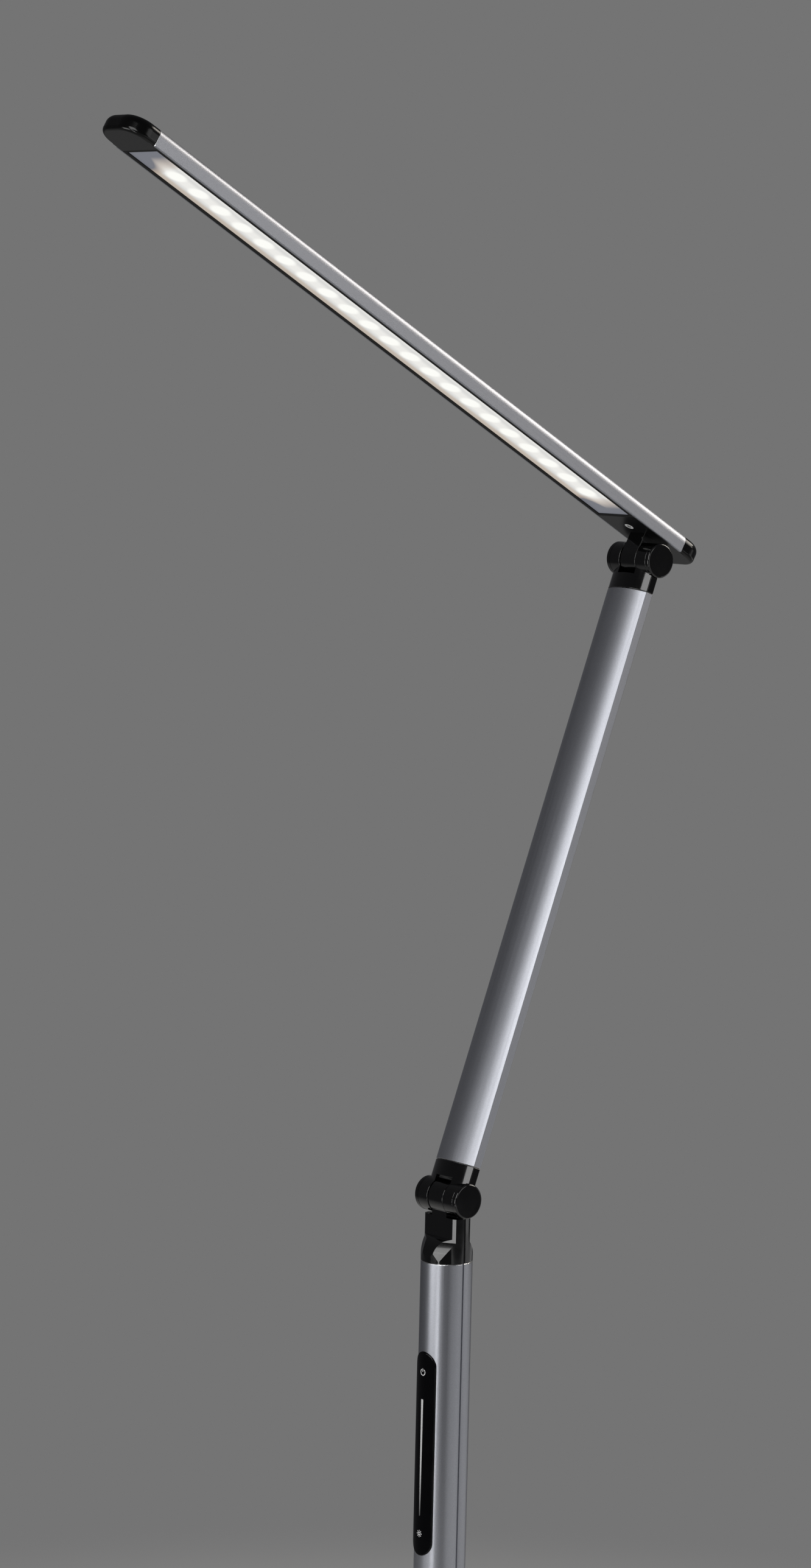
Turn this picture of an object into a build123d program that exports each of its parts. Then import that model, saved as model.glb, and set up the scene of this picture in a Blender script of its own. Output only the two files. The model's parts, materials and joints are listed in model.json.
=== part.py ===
from build123d import *
import os
from math import cos, radians, sin, sqrt, tan

os.makedirs("parts", exist_ok=True)

# A desk lamp with a long lit bar as its head. A round post stands on a weighted base and turns on it,
# an oval arm is hinged on the post and the head is hinged on the arm.
# Millimetres, +Z up, origin on the desk under the middle of the base. The lamp faces -Y.

# Rest pose and hinge places
elbow_height = 400.0  # elbow axis above the desk
arm_length = 388.6  # from the elbow axis to the head axis
arm_lean = 20.3  # degrees backwards from upright
head_rise = 29.5  # degrees above level

# Clearances
slide_fit = 0.1  # each side of a plug in its socket
run_fit = 0.05  # radial, for pieces that turn on each other
lift_gap = 0.1  # under the turning post foot

# Base
base_diameter = 210.0
base_height = 20.0
cover_wall = 2.2
cover_round = 5.0
pad_thickness = 2.0
pad_inset = 5.0
plate_thickness = 2.0
weight_rim = 19.0  # from the base's edge to the weight's edge
weight_head_gap = 0.3
nut_pocket_diameter = 40.0
nut_pocket_depth = 6.0
boss_inset = 13.0  # from the base's edge to a screw boss's axis
boss_diameter = 8.0
boss_count = 4
base_screw_diameter = 3.5
base_screw_length = 10.0
base_screw_head_diameter = 6.4
screw_head_angle = 90.0  # of every countersunk head

# Power inlet and its board at the back of the base
stud_height = 0.8
stud_diameter = 5.0
board_thickness = 1.6
board_width = 34.0
board_depth = 32.0
board_rim = 7.0  # from the base's edge to the board's edge
inlet_width = 9.0
inlet_height = 9.0
inlet_depth = 14.0
inlet_barrel_diameter = 7.8
inlet_bore_diameter = 5.6
inlet_pin_diameter = 2.1
board_pocket_room = 4.0  # around the board in the weight

# Swivel between the base and the post
spindle_diameter = 16.0
spindle_bore = 9.0
bush_diameter = 24.0
flange_diameter = 44.0
flange_thickness = 1.5
swivel_washer_diameter = 34.0
swivel_washer_thickness = 1.5
swivel_nut_flats = 24.0
swivel_nut_thickness = 5.0
stop_pin_diameter = 4.0
stop_circle_radius = 17.0
stop_groove_room = 0.3
stop_groove_depth = 3.0
swivel_range = 90.0  # degrees to either side
foot_height = 14.4
foot_top_diameter = 34.0
foot_edge_round = 1.5

# Post
post_diameter = 30.0
post_wall = 1.6
plug_length = 20.0
groove_width = 1.2
groove_depth = 0.7
cut_edge = 0.5  # bevel around the sawn end of the arm
post_edge_round = 0.9
wire_bore = 7.0

# Touch strip on the post's front
strip_top_drop = 88.5  # below the elbow axis
strip_length = 119.5
strip_half_angle = 31.5
strip_proud = 0.8
strip_edge_round = 0.6
window_width = 13.0
window_end_margin = 6.0
lens_back_depth = 2.6  # from the post's surface to the back of the lens
touch_board_thickness = 1.2
touch_board_margin = 0.6

# Hinges, the same at both ends of the arm
hinge_radius = 10.0
tongue_radius = 9.7
tongue_width = 12.9
hinge_washer_diameter = 16.0
hinge_washer_thickness = 0.5
ear_thickness = 8.5
ear_cap_thickness = 2.9
ear_cap_round = 0.9
bolt_diameter = 5.0
bolt_head_diameter = 9.0
bolt_head_height = 3.0
bolt_socket_flats = 3.0
bolt_socket_depth = 1.6
nut_flats = 8.0
nut_thickness = 4.0
cap_spigot_diameter = 9.6
cap_spigot_length = 1.2
cap_recess_diameter = 10.0
cap_recess_depth = 1.3
cap_seat_room = 0.3
hinge_bush_diameter = 8.0
mould_round = 0.4  # along the edges of the black mouldings
fork_slot_depth = 10.6  # from the axis to the bottom of the slot
shoulder_drop = 10.6  # from the axis to the shoulder that carries the tongue

# Post top
collar_height = 25.75
scoop_half_thickness = 6.4
scoop_start = 0.8
scoop_height = 13.2
scoop_bevel_turn = 32.0  # around the post, to either side of the scoop
scoop_bevel_reach = 11.9  # from the post's axis to the bevel's flat
scoop_bevel_height = 11.2

# Arm
arm_width = 34.0
arm_thickness = 16.4
arm_edge = 4.9  # height of the flat along each side
arm_corner_round = 0.7
arm_wall = 1.6
fork_reach = 19.75  # from the hinge axis to the end of the arm's tube
fork_plug_length = 18.0

# Grub screws that hold the plugs in the tubes
grub_diameter = 4.0
grub_length = 4.4
grub_socket_flats = 2.0
grub_socket_depth = 2.0
grub_inset = 9.0  # from the tube's end
grub_sink = 0.2

# Head, measured from the head axis: along the bar, and up from the axis
bar_front = 430.0
bar_rear = 12.0
bar_underside = 12.4
bar_width = 35.2
bar_thickness = 10.8
bar_round = 5.0
bar_lower_round = 0.6
bar_cut_edge = 0.3
bar_wall = 1.4
channel_depth = 5.55
throat_half_width = 13.9
throat_height = 1.2
slot_half_width = 15.2
slot_height = 1.65
end_cap_length = 18.0
end_cap_corner = 13.0
end_cap_lower_round = 2.5
end_cap_plug = 3.5

# Light strip in the head
window_rear = 29.5
window_end_bar = 1.7  # black bar across each end
diffuser_half_width = 13.5
diffuser_thickness = 1.8
diffuser_recess = 0.75
diffuser_lip = 0.7  # held in the rails on either side
led_pitch = 17.1
led_end_room = 25.5
led_size = 3.5
led_breadth = 2.8
led_thickness = 0.8
led_board_thickness = 1.55
led_board_end_room = 2.0

# Carrier of the head's knuckle
panel_thickness = 3.0
carrier_front = 28.0
carrier_rear = 6.5
knuckle_block_length = 16.0
knuckle_block_width = 12.0
knuckle_block_shift = 1.7  # in front of the head axis
knuckle_screw_spacing = 9.0
screw_diameter = 3.0
screw_head_diameter = 5.5
screw_head_height = 2.0
screw_grip = 10.0
screw_socket_flats = 2.5
screw_socket_depth = 1.2
screw_slot_length = 3.2
screw_slot_width = 0.7
screw_slot_depth = 0.9
panel_screw_place = 17.5  # in front of the head axis

# Places that follow from the sizes above
across = Vector(1, 0, 0)
elbow = Vector(0, 0, elbow_height)
arm_along = Vector(0, sin(radians(arm_lean)), cos(radians(arm_lean)))
head_axis = elbow + arm_along * arm_length
head_along = Vector(0, -cos(radians(head_rise)), sin(radians(head_rise)))
head_up = Vector(0, sin(radians(head_rise)), cos(radians(head_rise)))

base_radius = base_diameter / 2
plate_top = pad_thickness + plate_thickness
cover_ceiling = base_height - cover_wall
weight_top = cover_ceiling - weight_head_gap
nut_ceiling = plate_top + nut_pocket_depth
skirt_inside = base_radius - cover_wall
boss_radius = base_radius - boss_inset
board_underside = plate_top + stud_height
board_top = board_underside + board_thickness
board_rear = base_radius - board_rim
board_front = board_rear - board_depth
inlet_rear = sqrt(skirt_inside**2 - (inlet_width / 2) ** 2) - slide_fit
inlet_height_centre = board_top + inlet_height / 2
inlet_plane = Plane(origin=(0, inlet_rear, inlet_height_centre), x_dir=(-1, 0, 0), z_dir=(0, 1, 0))
spindle_seat = spindle_diameter / 2 + run_fit
swivel_nut_top = nut_ceiling - run_fit - swivel_washer_thickness
swivel_nut_bottom = swivel_nut_top - swivel_nut_thickness
flange_top = base_height + flange_thickness
foot_bottom = flange_top + lift_gap
foot_top = foot_bottom + foot_height

post_radius = post_diameter / 2
post_inside = post_radius - post_wall
plug_radius = post_inside - slide_fit
collar_bottom = elbow_height - shoulder_drop - collar_height
strip_top = elbow_height - strip_top_drop
strip_bottom = strip_top - strip_length
window_bottom = strip_bottom + window_end_margin
window_length = strip_length - 2 * window_end_margin

washer_inside = tongue_width / 2 + run_fit
ear_inside = washer_inside + hinge_washer_thickness
ear_outside = ear_inside + ear_thickness
cap_recess_floor = ear_outside - cap_recess_depth
bolt_seat = cap_recess_floor - nut_thickness
bolt_hole_radius = bolt_diameter / 2 + run_fit
tongue_bore_radius = hinge_bush_diameter / 2

arm_tube_length = arm_length - 2 * fork_reach
channel_ceiling = bar_underside + channel_depth
throat_top = channel_ceiling + throat_height
slot_top = throat_top + slot_height
channel_half_width = bar_width / 2 - bar_wall
window_front = bar_front - end_cap_plug
window_span = window_front - window_rear
panel_top = bar_underside + panel_thickness
panel_rear = end_cap_plug - bar_rear
led_count = int((window_span - 2 * led_end_room) / led_pitch) + 1

arm_frame = Plane(origin=elbow, x_dir=across, z_dir=arm_along)
head_frame = Plane(origin=head_axis, x_dir=across, z_dir=head_along)
head_side = Plane(origin=head_axis, x_dir=head_up, z_dir=across)
post_side = Plane(origin=elbow, x_dir=(0, 1, 0), z_dir=across)
arm_back = arm_frame.y_dir


def save(piece, name):
    """Label a finished piece and write it under its name."""
    piece.part.label = name
    export_step(piece.part, f"parts/{name}.step")


def head_point(along, rise):
    """A point in the head's middle plane, from the head axis."""
    return head_axis + head_along * along + head_up * rise


# Base pad: a full disc of rubber under the base
with BuildPart() as base_pad:
    with BuildSketch():
        Circle(skirt_inside - pad_inset)
    extrude(amount=pad_thickness)
save(base_pad, "base_pad")

# Base plate: closes the base from below and carries the weight and the inlet's board
board_middle = (board_rear + board_front) / 2
with BuildPart() as base_plate:
    with BuildSketch(Plane.XY.offset(pad_thickness)):
        Circle(skirt_inside - slide_fit)
        Circle(nut_pocket_diameter / 2, mode=Mode.SUBTRACT)
    extrude(amount=plate_thickness)
    with BuildSketch(Plane.XY.offset(plate_top)):
        with Locations((0, board_middle)):
            with GridLocations(board_width - 2 * stud_diameter, board_depth - 2 * stud_diameter, 2, 2):
                Circle(stud_diameter / 2)
    extrude(amount=stud_height)
    with Locations(Plane(origin=(0, 0, pad_thickness), z_dir=(0, 0, -1))):
        with PolarLocations(boss_radius, boss_count, start_angle=180 / boss_count):
            CounterSinkHole(
                base_screw_diameter / 2 + slide_fit,
                base_screw_head_diameter / 2 + slide_fit,
                counter_sink_angle=screw_head_angle,
            )
save(base_plate, "base_plate")

# Base weight: a heavy disc with a pocket for the swivel's nut and a bay for the inlet's board
with BuildPart() as base_weight:
    with BuildSketch(Plane.XY.offset(plate_top)):
        Circle(base_radius - weight_rim)
        Circle(bush_diameter / 2 + slide_fit, mode=Mode.SUBTRACT)
        with Locations((0, board_front - board_pocket_room)):
            Rectangle(
                board_width + 2 * board_pocket_room,
                base_radius,
                align=(Align.CENTER, Align.MIN),
                mode=Mode.SUBTRACT,
            )
    extrude(amount=weight_top - plate_top)
    with BuildSketch(Plane.XY.offset(plate_top)):
        Circle(nut_pocket_diameter / 2)
    extrude(amount=nut_pocket_depth, mode=Mode.SUBTRACT)
save(base_weight, "base_weight")

# Base cover: a shallow round shell with a rounded shoulder, a hole for the swivel and one for the inlet
with BuildPart() as base_cover:
    with BuildSketch(Plane.XY.offset(pad_thickness)):
        Circle(base_radius)
    extrude(amount=base_height - pad_thickness)
    fillet(base_cover.faces().sort_by(Axis.Z)[-1].edges(), radius=cover_round)
    with BuildSketch(Plane.XY.offset(pad_thickness)):
        Circle(skirt_inside)
    extrude(amount=cover_ceiling - pad_thickness, mode=Mode.SUBTRACT)
    with BuildSketch(Plane.XY.offset(plate_top)):
        with PolarLocations(boss_radius, boss_count, start_angle=180 / boss_count):
            Circle(boss_diameter / 2)
    extrude(amount=cover_ceiling - plate_top)
    with BuildSketch(Plane.XY.offset(plate_top)):
        with PolarLocations(boss_radius, boss_count, start_angle=180 / boss_count):
            Circle(base_screw_diameter / 2)
    extrude(amount=base_screw_length, mode=Mode.SUBTRACT)
    with BuildSketch(Plane.XY.offset(cover_ceiling)):
        Circle(bush_diameter / 2 + slide_fit)
        with Locations((0, stop_circle_radius)):
            Circle(stop_pin_diameter / 2)
    extrude(amount=cover_wall, mode=Mode.SUBTRACT)
    with BuildSketch(inlet_plane):
        Circle(inlet_barrel_diameter / 2 + slide_fit)
    extrude(amount=2 * cover_wall, mode=Mode.SUBTRACT)
save(base_cover, "base_cover")

# Base screws: from below, through the plate and into the cover's bosses
base_head_depth = (base_screw_head_diameter - base_screw_diameter) / 2 / tan(radians(screw_head_angle / 2))
with BuildPart() as base_screws:
    with BuildSketch(Plane.XY.offset(pad_thickness)):
        with PolarLocations(boss_radius, boss_count, start_angle=180 / boss_count):
            Circle(base_screw_diameter / 2)
    extrude(amount=base_screw_length)
    with Locations((0, 0, pad_thickness)):
        with PolarLocations(boss_radius, boss_count, start_angle=180 / boss_count):
            Cone(
                base_screw_head_diameter / 2,
                base_screw_diameter / 2,
                base_head_depth,
                align=(Align.CENTER, Align.CENTER, Align.MIN),
            )
save(base_screws, "base_screws")

# Power board on its studs
with BuildPart() as power_board:
    with BuildSketch(Plane.XY.offset(board_underside)):
        with Locations((0, board_middle)):
            Rectangle(board_width, board_depth)
    extrude(amount=board_thickness)
save(power_board, "power_board")

# Power inlet: a socket on the board whose barrel passes through the skirt
with BuildPart() as power_inlet:
    with BuildSketch(inlet_plane):
        Rectangle(inlet_width, inlet_height)
    extrude(amount=-inlet_depth)
    with BuildSketch(inlet_plane):
        Circle(inlet_barrel_diameter / 2)
    extrude(amount=cover_wall)
    with BuildSketch(inlet_plane.offset(cover_wall)):
        Circle(inlet_bore_diameter / 2)
        Circle(inlet_pin_diameter / 2, mode=Mode.SUBTRACT)
    extrude(amount=cover_wall - inlet_depth, mode=Mode.SUBTRACT)
save(power_inlet, "power_inlet")

# Swivel bush: lines the weight's bore and spreads under the post's foot
with BuildPart() as swivel_bush:
    with BuildSketch(Plane.XY.offset(nut_ceiling)):
        Circle(bush_diameter / 2)
    extrude(amount=base_height - nut_ceiling)
    with BuildSketch(Plane.XY.offset(base_height)):
        Circle(flange_diameter / 2)
    extrude(amount=flange_thickness)
    with BuildSketch(Plane.XY.offset(nut_ceiling)):
        Circle(spindle_seat)
        with Locations((0, stop_circle_radius)):
            Circle(stop_pin_diameter / 2 + slide_fit)
    extrude(amount=flange_top - nut_ceiling, mode=Mode.SUBTRACT)
save(swivel_bush, "swivel_bush")

# Stop pin: stands in the cover and runs in the groove under the post's foot
with BuildPart() as swivel_stop_pin:
    with BuildSketch(Plane.XY.offset(cover_ceiling)):
        with Locations((0, stop_circle_radius)):
            Circle(stop_pin_diameter / 2)
    extrude(amount=foot_bottom + stop_groove_depth - stop_groove_room - cover_ceiling)
save(swivel_stop_pin, "swivel_stop_pin")

# Post foot: turns on the bush, carries the spindle and plugs into the post
stop_path = CenterArc((0, 0), stop_circle_radius, 90 - swivel_range, 2 * swivel_range)
with BuildPart() as post_foot:
    with BuildSketch(Plane.XZ):
        with BuildLine():
            Polyline(
                (0, foot_bottom),
                (flange_diameter / 2, foot_bottom),
                (foot_top_diameter / 2, foot_top),
                (plug_radius, foot_top),
                (plug_radius, foot_top + plug_length),
                (0, foot_top + plug_length),
                close=True,
            )
        make_face()
    revolve(axis=Axis.Z)
    rim = post_foot.edges().filter_by(GeomType.CIRCLE).filter_by(lambda e: e.radius > post_radius)
    fillet(rim, radius=foot_edge_round)
    with BuildSketch(Plane.XY.offset(foot_bottom)):
        Circle(spindle_seat)
    extrude(amount=foot_height + plug_length, mode=Mode.SUBTRACT)
    with BuildSketch(Plane.XY.offset(foot_bottom)):
        SlotArc(stop_path, stop_pin_diameter + 2 * stop_groove_room)
    extrude(amount=stop_groove_depth, mode=Mode.SUBTRACT)
    with BuildSketch(Plane(origin=(0, 0, foot_top + grub_inset), x_dir=(-1, 0, 0), z_dir=(0, 1, 0))):
        Circle(grub_diameter / 2 + run_fit)
    extrude(amount=post_radius, mode=Mode.SUBTRACT)
save(post_foot, "post_foot")

# Spindle, washer and nut that hold the post down on the base
with BuildPart() as swivel_spindle:
    with BuildSketch(Plane.XY.offset(swivel_nut_bottom)):
        Circle(spindle_diameter / 2)
        Circle(spindle_bore / 2, mode=Mode.SUBTRACT)
    extrude(amount=foot_top + plug_length - swivel_nut_bottom)
save(swivel_spindle, "swivel_spindle")

with BuildPart() as swivel_washer:
    with BuildSketch(Plane.XY.offset(swivel_nut_top)):
        Circle(swivel_washer_diameter / 2)
        Circle(spindle_seat, mode=Mode.SUBTRACT)
    extrude(amount=swivel_washer_thickness)
save(swivel_washer, "swivel_washer")

with BuildPart() as swivel_nut:
    with BuildSketch(Plane.XY.offset(swivel_nut_bottom)):
        RegularPolygon(swivel_nut_flats / 2, 6, major_radius=False)
        Circle(spindle_seat, mode=Mode.SUBTRACT)
    extrude(amount=swivel_nut_thickness)
save(swivel_nut, "swivel_nut")

# Post tube: round, with a fine groove down each side and a window behind the touch strip
post_length = collar_bottom - foot_top
grub_heights = (foot_top + grub_inset, collar_bottom - grub_inset)
with BuildPart() as post_tube:
    with BuildSketch(Plane.XY.offset(foot_top)):
        Circle(post_radius)
    extrude(amount=post_length)
    fillet(post_tube.edges().filter_by(GeomType.CIRCLE), radius=post_edge_round)
    with BuildSketch(Plane.XY.offset(foot_top)):
        Circle(post_inside)
        with Locations((post_radius, 0), (-post_radius, 0)):
            Rectangle(2 * groove_depth, groove_width)
    extrude(amount=post_length, mode=Mode.SUBTRACT)
    window_plane = Plane(origin=(0, 0, window_bottom), x_dir=across, z_dir=(0, -1, 0))
    with BuildSketch(window_plane):
        Rectangle(window_width, window_length, align=(Align.CENTER, Align.MIN))
    extrude(amount=post_diameter, mode=Mode.SUBTRACT)
    for height in grub_heights:
        with BuildSketch(Plane(origin=(0, 0, height), x_dir=(-1, 0, 0), z_dir=(0, 1, 0))):
            Circle(grub_diameter / 2 + run_fit)
        extrude(amount=post_diameter, mode=Mode.SUBTRACT)
save(post_tube, "post_tube")

# Touch lens: a curved black strip with round ends on the post, with a flat back that fills the window
lens_back = post_radius - lens_back_depth
strip_width = 2 * (post_radius + strip_proud) * sin(radians(strip_half_angle))
strip_front = Plane(origin=(0, 0, (strip_top + strip_bottom) / 2), x_dir=(0, 0, 1), z_dir=(0, -1, 0))
with BuildPart() as touch_lens:
    with BuildSketch(Plane.XY.offset(strip_bottom)):
        Circle(post_radius + strip_proud)
    extrude(amount=strip_length)
    with BuildSketch(strip_front):
        SlotOverall(strip_length, strip_width)
    extrude(amount=post_diameter, mode=Mode.INTERSECT)
    lens_face = touch_lens.faces().sort_by(Axis.Y)[0]
    fillet(lens_face.edges(), radius=strip_edge_round)
    with BuildSketch(Plane.XY.offset(strip_bottom)):
        Circle(post_radius)
    extrude(amount=strip_length, mode=Mode.SUBTRACT)
    with BuildSketch(Plane.XY.offset(window_bottom + slide_fit)):
        Circle(post_radius + strip_proud / 2)
        with Locations((0, -lens_back)):
            Rectangle(
                window_width - 2 * slide_fit,
                post_radius,
                align=(Align.CENTER, Align.MAX),
                mode=Mode.INTERSECT,
            )
    extrude(amount=window_length - 2 * slide_fit)
save(touch_lens, "touch_lens")

# Touch board behind the lens
with BuildPart() as touch_board:
    with BuildSketch(Plane.XY.offset(window_bottom + touch_board_margin)):
        with Locations((0, -lens_back)):
            Rectangle(
                window_width - 2 * touch_board_margin,
                touch_board_thickness,
                align=(Align.CENTER, Align.MIN),
            )
    extrude(amount=window_length - 2 * touch_board_margin)
save(touch_board, "touch_board")


def tongue_rim(edge):
    """Whether an edge is one of the round edges of a hinge's tongue."""
    return edge.geom_type == GeomType.CIRCLE and abs(edge.radius - tongue_radius) < run_fit


# Post knuckle: a round collar scooped flat at the front and back, with a bevel along each side of the scoop,
# and the elbow's tongue on top
shoulder_height = elbow_height - shoulder_drop
scoop_foot = collar_bottom + scoop_start
with BuildPart() as post_knuckle:
    with BuildSketch(Plane.XY.offset(collar_bottom)):
        Circle(post_radius)
    extrude(amount=collar_height)
    scoops = [
        (0, scoop_half_thickness, scoop_height),
        (scoop_bevel_turn, scoop_bevel_reach, scoop_bevel_height),
        (-scoop_bevel_turn, scoop_bevel_reach, scoop_bevel_height),
    ]
    for turn, reach, height in scoops:
        depth = post_radius - reach
        with BuildSketch(Plane.YZ.rotated((0, 0, turn))):
            with BuildLine():
                sweep_end = (-reach, scoop_foot + height)
                sweep_radius = (depth**2 + height**2) / (2 * depth)
                scoop = RadiusArc((-post_radius, scoop_foot), sweep_end, sweep_radius)
                Polyline(
                    scoop @ 1,
                    (-reach, shoulder_height),
                    (-post_diameter, shoulder_height),
                    (-post_diameter, scoop_foot),
                    scoop @ 0,
                )
            make_face()
            mirror(about=Plane.YZ)
        extrude(amount=post_diameter, both=True, mode=Mode.SUBTRACT)
    with BuildSketch(post_side):
        Circle(tongue_radius)
        Rectangle(2 * scoop_half_thickness, shoulder_drop, align=(Align.CENTER, Align.MAX))
    extrude(amount=tongue_width / 2, both=True)
    fillet(post_knuckle.edges().filter_by(tongue_rim), radius=mould_round)
    with BuildSketch(post_side):
        Circle(tongue_bore_radius)
    extrude(amount=tongue_width, both=True, mode=Mode.SUBTRACT)
    with BuildSketch(Plane.XY.offset(collar_bottom - plug_length)):
        Circle(plug_radius)
    extrude(amount=plug_length)
    with BuildSketch(Plane.XY.offset(collar_bottom - plug_length)):
        Circle(wire_bore / 2)
    extrude(amount=plug_length + collar_height - wire_bore, mode=Mode.SUBTRACT)
    with BuildSketch(Plane(origin=(0, 0, collar_bottom - grub_inset), x_dir=(-1, 0, 0), z_dir=(0, 1, 0))):
        Circle(grub_diameter / 2 + run_fit)
    extrude(amount=post_radius, mode=Mode.SUBTRACT)
save(post_knuckle, "post_knuckle")


def grub_screw(outside):
    """A flush hexagon-socket grub screw whose outer end lies on the given plane, pointing out."""
    with BuildPart() as screw:
        with BuildSketch(outside):
            Circle(grub_diameter / 2)
        extrude(amount=-grub_length)
        with BuildSketch(outside):
            RegularPolygon(grub_socket_flats / 2, 6, major_radius=False)
        extrude(amount=-grub_socket_depth, mode=Mode.SUBTRACT)
    return screw.part


with BuildPart() as post_grubs:
    for height in grub_heights:
        add(grub_screw(Plane(origin=(0, post_radius - grub_sink, height), x_dir=(-1, 0, 0), z_dir=(0, 1, 0))))
save(post_grubs, "post_grubs")


def arm_oval(inset):
    """The arm's section, two shallow crowns between flat edges, drawn in by the inset all round."""
    crown_rise = (arm_thickness - arm_edge) / 2
    crown_radius = (arm_width**2 / 4 + crown_rise**2) / (2 * crown_rise)
    crown_drop = crown_radius - arm_thickness / 2
    half_width = arm_width / 2 - inset
    half_thickness = arm_thickness / 2 - inset
    half_edge = sqrt((crown_radius - inset) ** 2 - half_width**2) - crown_drop
    with BuildSketch() as oval:
        with BuildLine():
            ThreePointArc((-half_width, half_edge), (0, half_thickness), (half_width, half_edge))
            Line((half_width, half_edge), (half_width, -half_edge))
            ThreePointArc((half_width, -half_edge), (0, -half_thickness), (-half_width, -half_edge))
            Line((-half_width, -half_edge), (-half_width, half_edge))
        make_face()
        fillet(oval.vertices(), radius=arm_corner_round)
    return oval.sketch


def sawn_rims(piece, along):
    """The edges around the two ends of a tube or bar."""
    ends = piece.faces().filter_by(lambda face: abs(face.normal_at().dot(along)) > cos(radians(1)))
    return ends.edges()


# Arm tube: an oval tube with flat edges
with BuildPart() as arm_tube:
    with BuildSketch(arm_frame.offset(fork_reach)):
        add(arm_oval(0))
    extrude(amount=arm_tube_length)
    chamfer(sawn_rims(arm_tube, arm_along), length=cut_edge)
    with BuildSketch(arm_frame.offset(fork_reach)):
        add(arm_oval(arm_wall))
    extrude(amount=arm_tube_length, mode=Mode.SUBTRACT)
    for place in (fork_reach + grub_inset, arm_length - fork_reach - grub_inset):
        with BuildSketch(Plane(origin=elbow + arm_along * place, x_dir=(-1, 0, 0), z_dir=arm_back)):
            Circle(grub_diameter / 2 + run_fit)
        extrude(amount=arm_thickness, mode=Mode.SUBTRACT)
save(arm_tube, "arm_tube")


def arm_fork(axis_point, outward):
    """One end of the arm: two round ears about a hinge axis, a collar, and a plug into the tube."""
    section = Plane(origin=axis_point, x_dir=across, z_dir=outward)
    side = Plane(origin=axis_point, x_dir=section.y_dir, z_dir=across)
    with BuildPart() as fork:
        with BuildSketch(section):
            add(arm_oval(0))
        extrude(amount=fork_reach)
        collar_rim = fork.faces().sort_by(Axis(axis_point, outward))[-1].edges()
        fillet(collar_rim, radius=mould_round)
        with BuildSketch(section) as barrel:
            Rectangle(2 * ear_outside, hinge_radius, align=(Align.CENTER, Align.MIN))
            fillet(barrel.vertices().group_by(Axis.Y)[-1], radius=mould_round)
        revolve(axis=Axis(axis_point, across))
        for face in (1, -1):
            with BuildSketch(side.offset(face * ear_outside)):
                Circle(hinge_radius + cap_seat_room)
            extrude(amount=face * arm_width, mode=Mode.SUBTRACT)
            with BuildSketch(side.offset(face * ear_outside)):
                Circle(cap_recess_diameter / 2)
            extrude(amount=-face * cap_recess_depth, mode=Mode.SUBTRACT)
        with BuildSketch(side):
            with Locations((0, fork_slot_depth)):
                Rectangle(2 * arm_thickness, 2 * arm_thickness, align=(Align.CENTER, Align.MAX))
        extrude(amount=ear_inside, both=True, mode=Mode.SUBTRACT)
        ear_rims = fork.edges(Select.LAST).filter_by(GeomType.CIRCLE)
        fillet(ear_rims, radius=mould_round)
        with BuildSketch(side):
            Circle(bolt_hole_radius)
        extrude(amount=arm_width, both=True, mode=Mode.SUBTRACT)
        with BuildSketch(side.offset(cap_recess_floor)):
            Circle(bolt_head_diameter / 2 + slide_fit)
        extrude(amount=-nut_thickness, mode=Mode.SUBTRACT)
        with BuildSketch(side.offset(-cap_recess_floor)):
            RegularPolygon(nut_flats / 2 + slide_fit, 6, major_radius=False)
        extrude(amount=nut_thickness, mode=Mode.SUBTRACT)
        with BuildSketch(section.offset(fork_reach)):
            add(arm_oval(arm_wall + slide_fit))
        extrude(amount=fork_plug_length)
        with BuildSketch(section.offset(fork_slot_depth)):
            Circle(wire_bore / 2)
        extrude(amount=fork_reach + fork_plug_length, mode=Mode.SUBTRACT)
        grub_place = axis_point + outward * (fork_reach + grub_inset)
        with BuildSketch(Plane(origin=grub_place, x_dir=(-1, 0, 0), z_dir=arm_back)):
            Circle(grub_diameter / 2 + run_fit)
        extrude(amount=arm_thickness, mode=Mode.SUBTRACT)
    return fork


lower_fork = arm_fork(elbow, arm_along)
save(lower_fork, "arm_lower_fork")
upper_fork = arm_fork(head_axis, -arm_along)
save(upper_fork, "arm_upper_fork")

with BuildPart() as arm_grubs:
    for place in (fork_reach + grub_inset, arm_length - fork_reach - grub_inset):
        crown = elbow + arm_along * place + arm_back * (arm_thickness / 2 - grub_sink)
        add(grub_screw(Plane(origin=crown, x_dir=(-1, 0, 0), z_dir=arm_back)))
save(arm_grubs, "arm_grubs")


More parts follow.
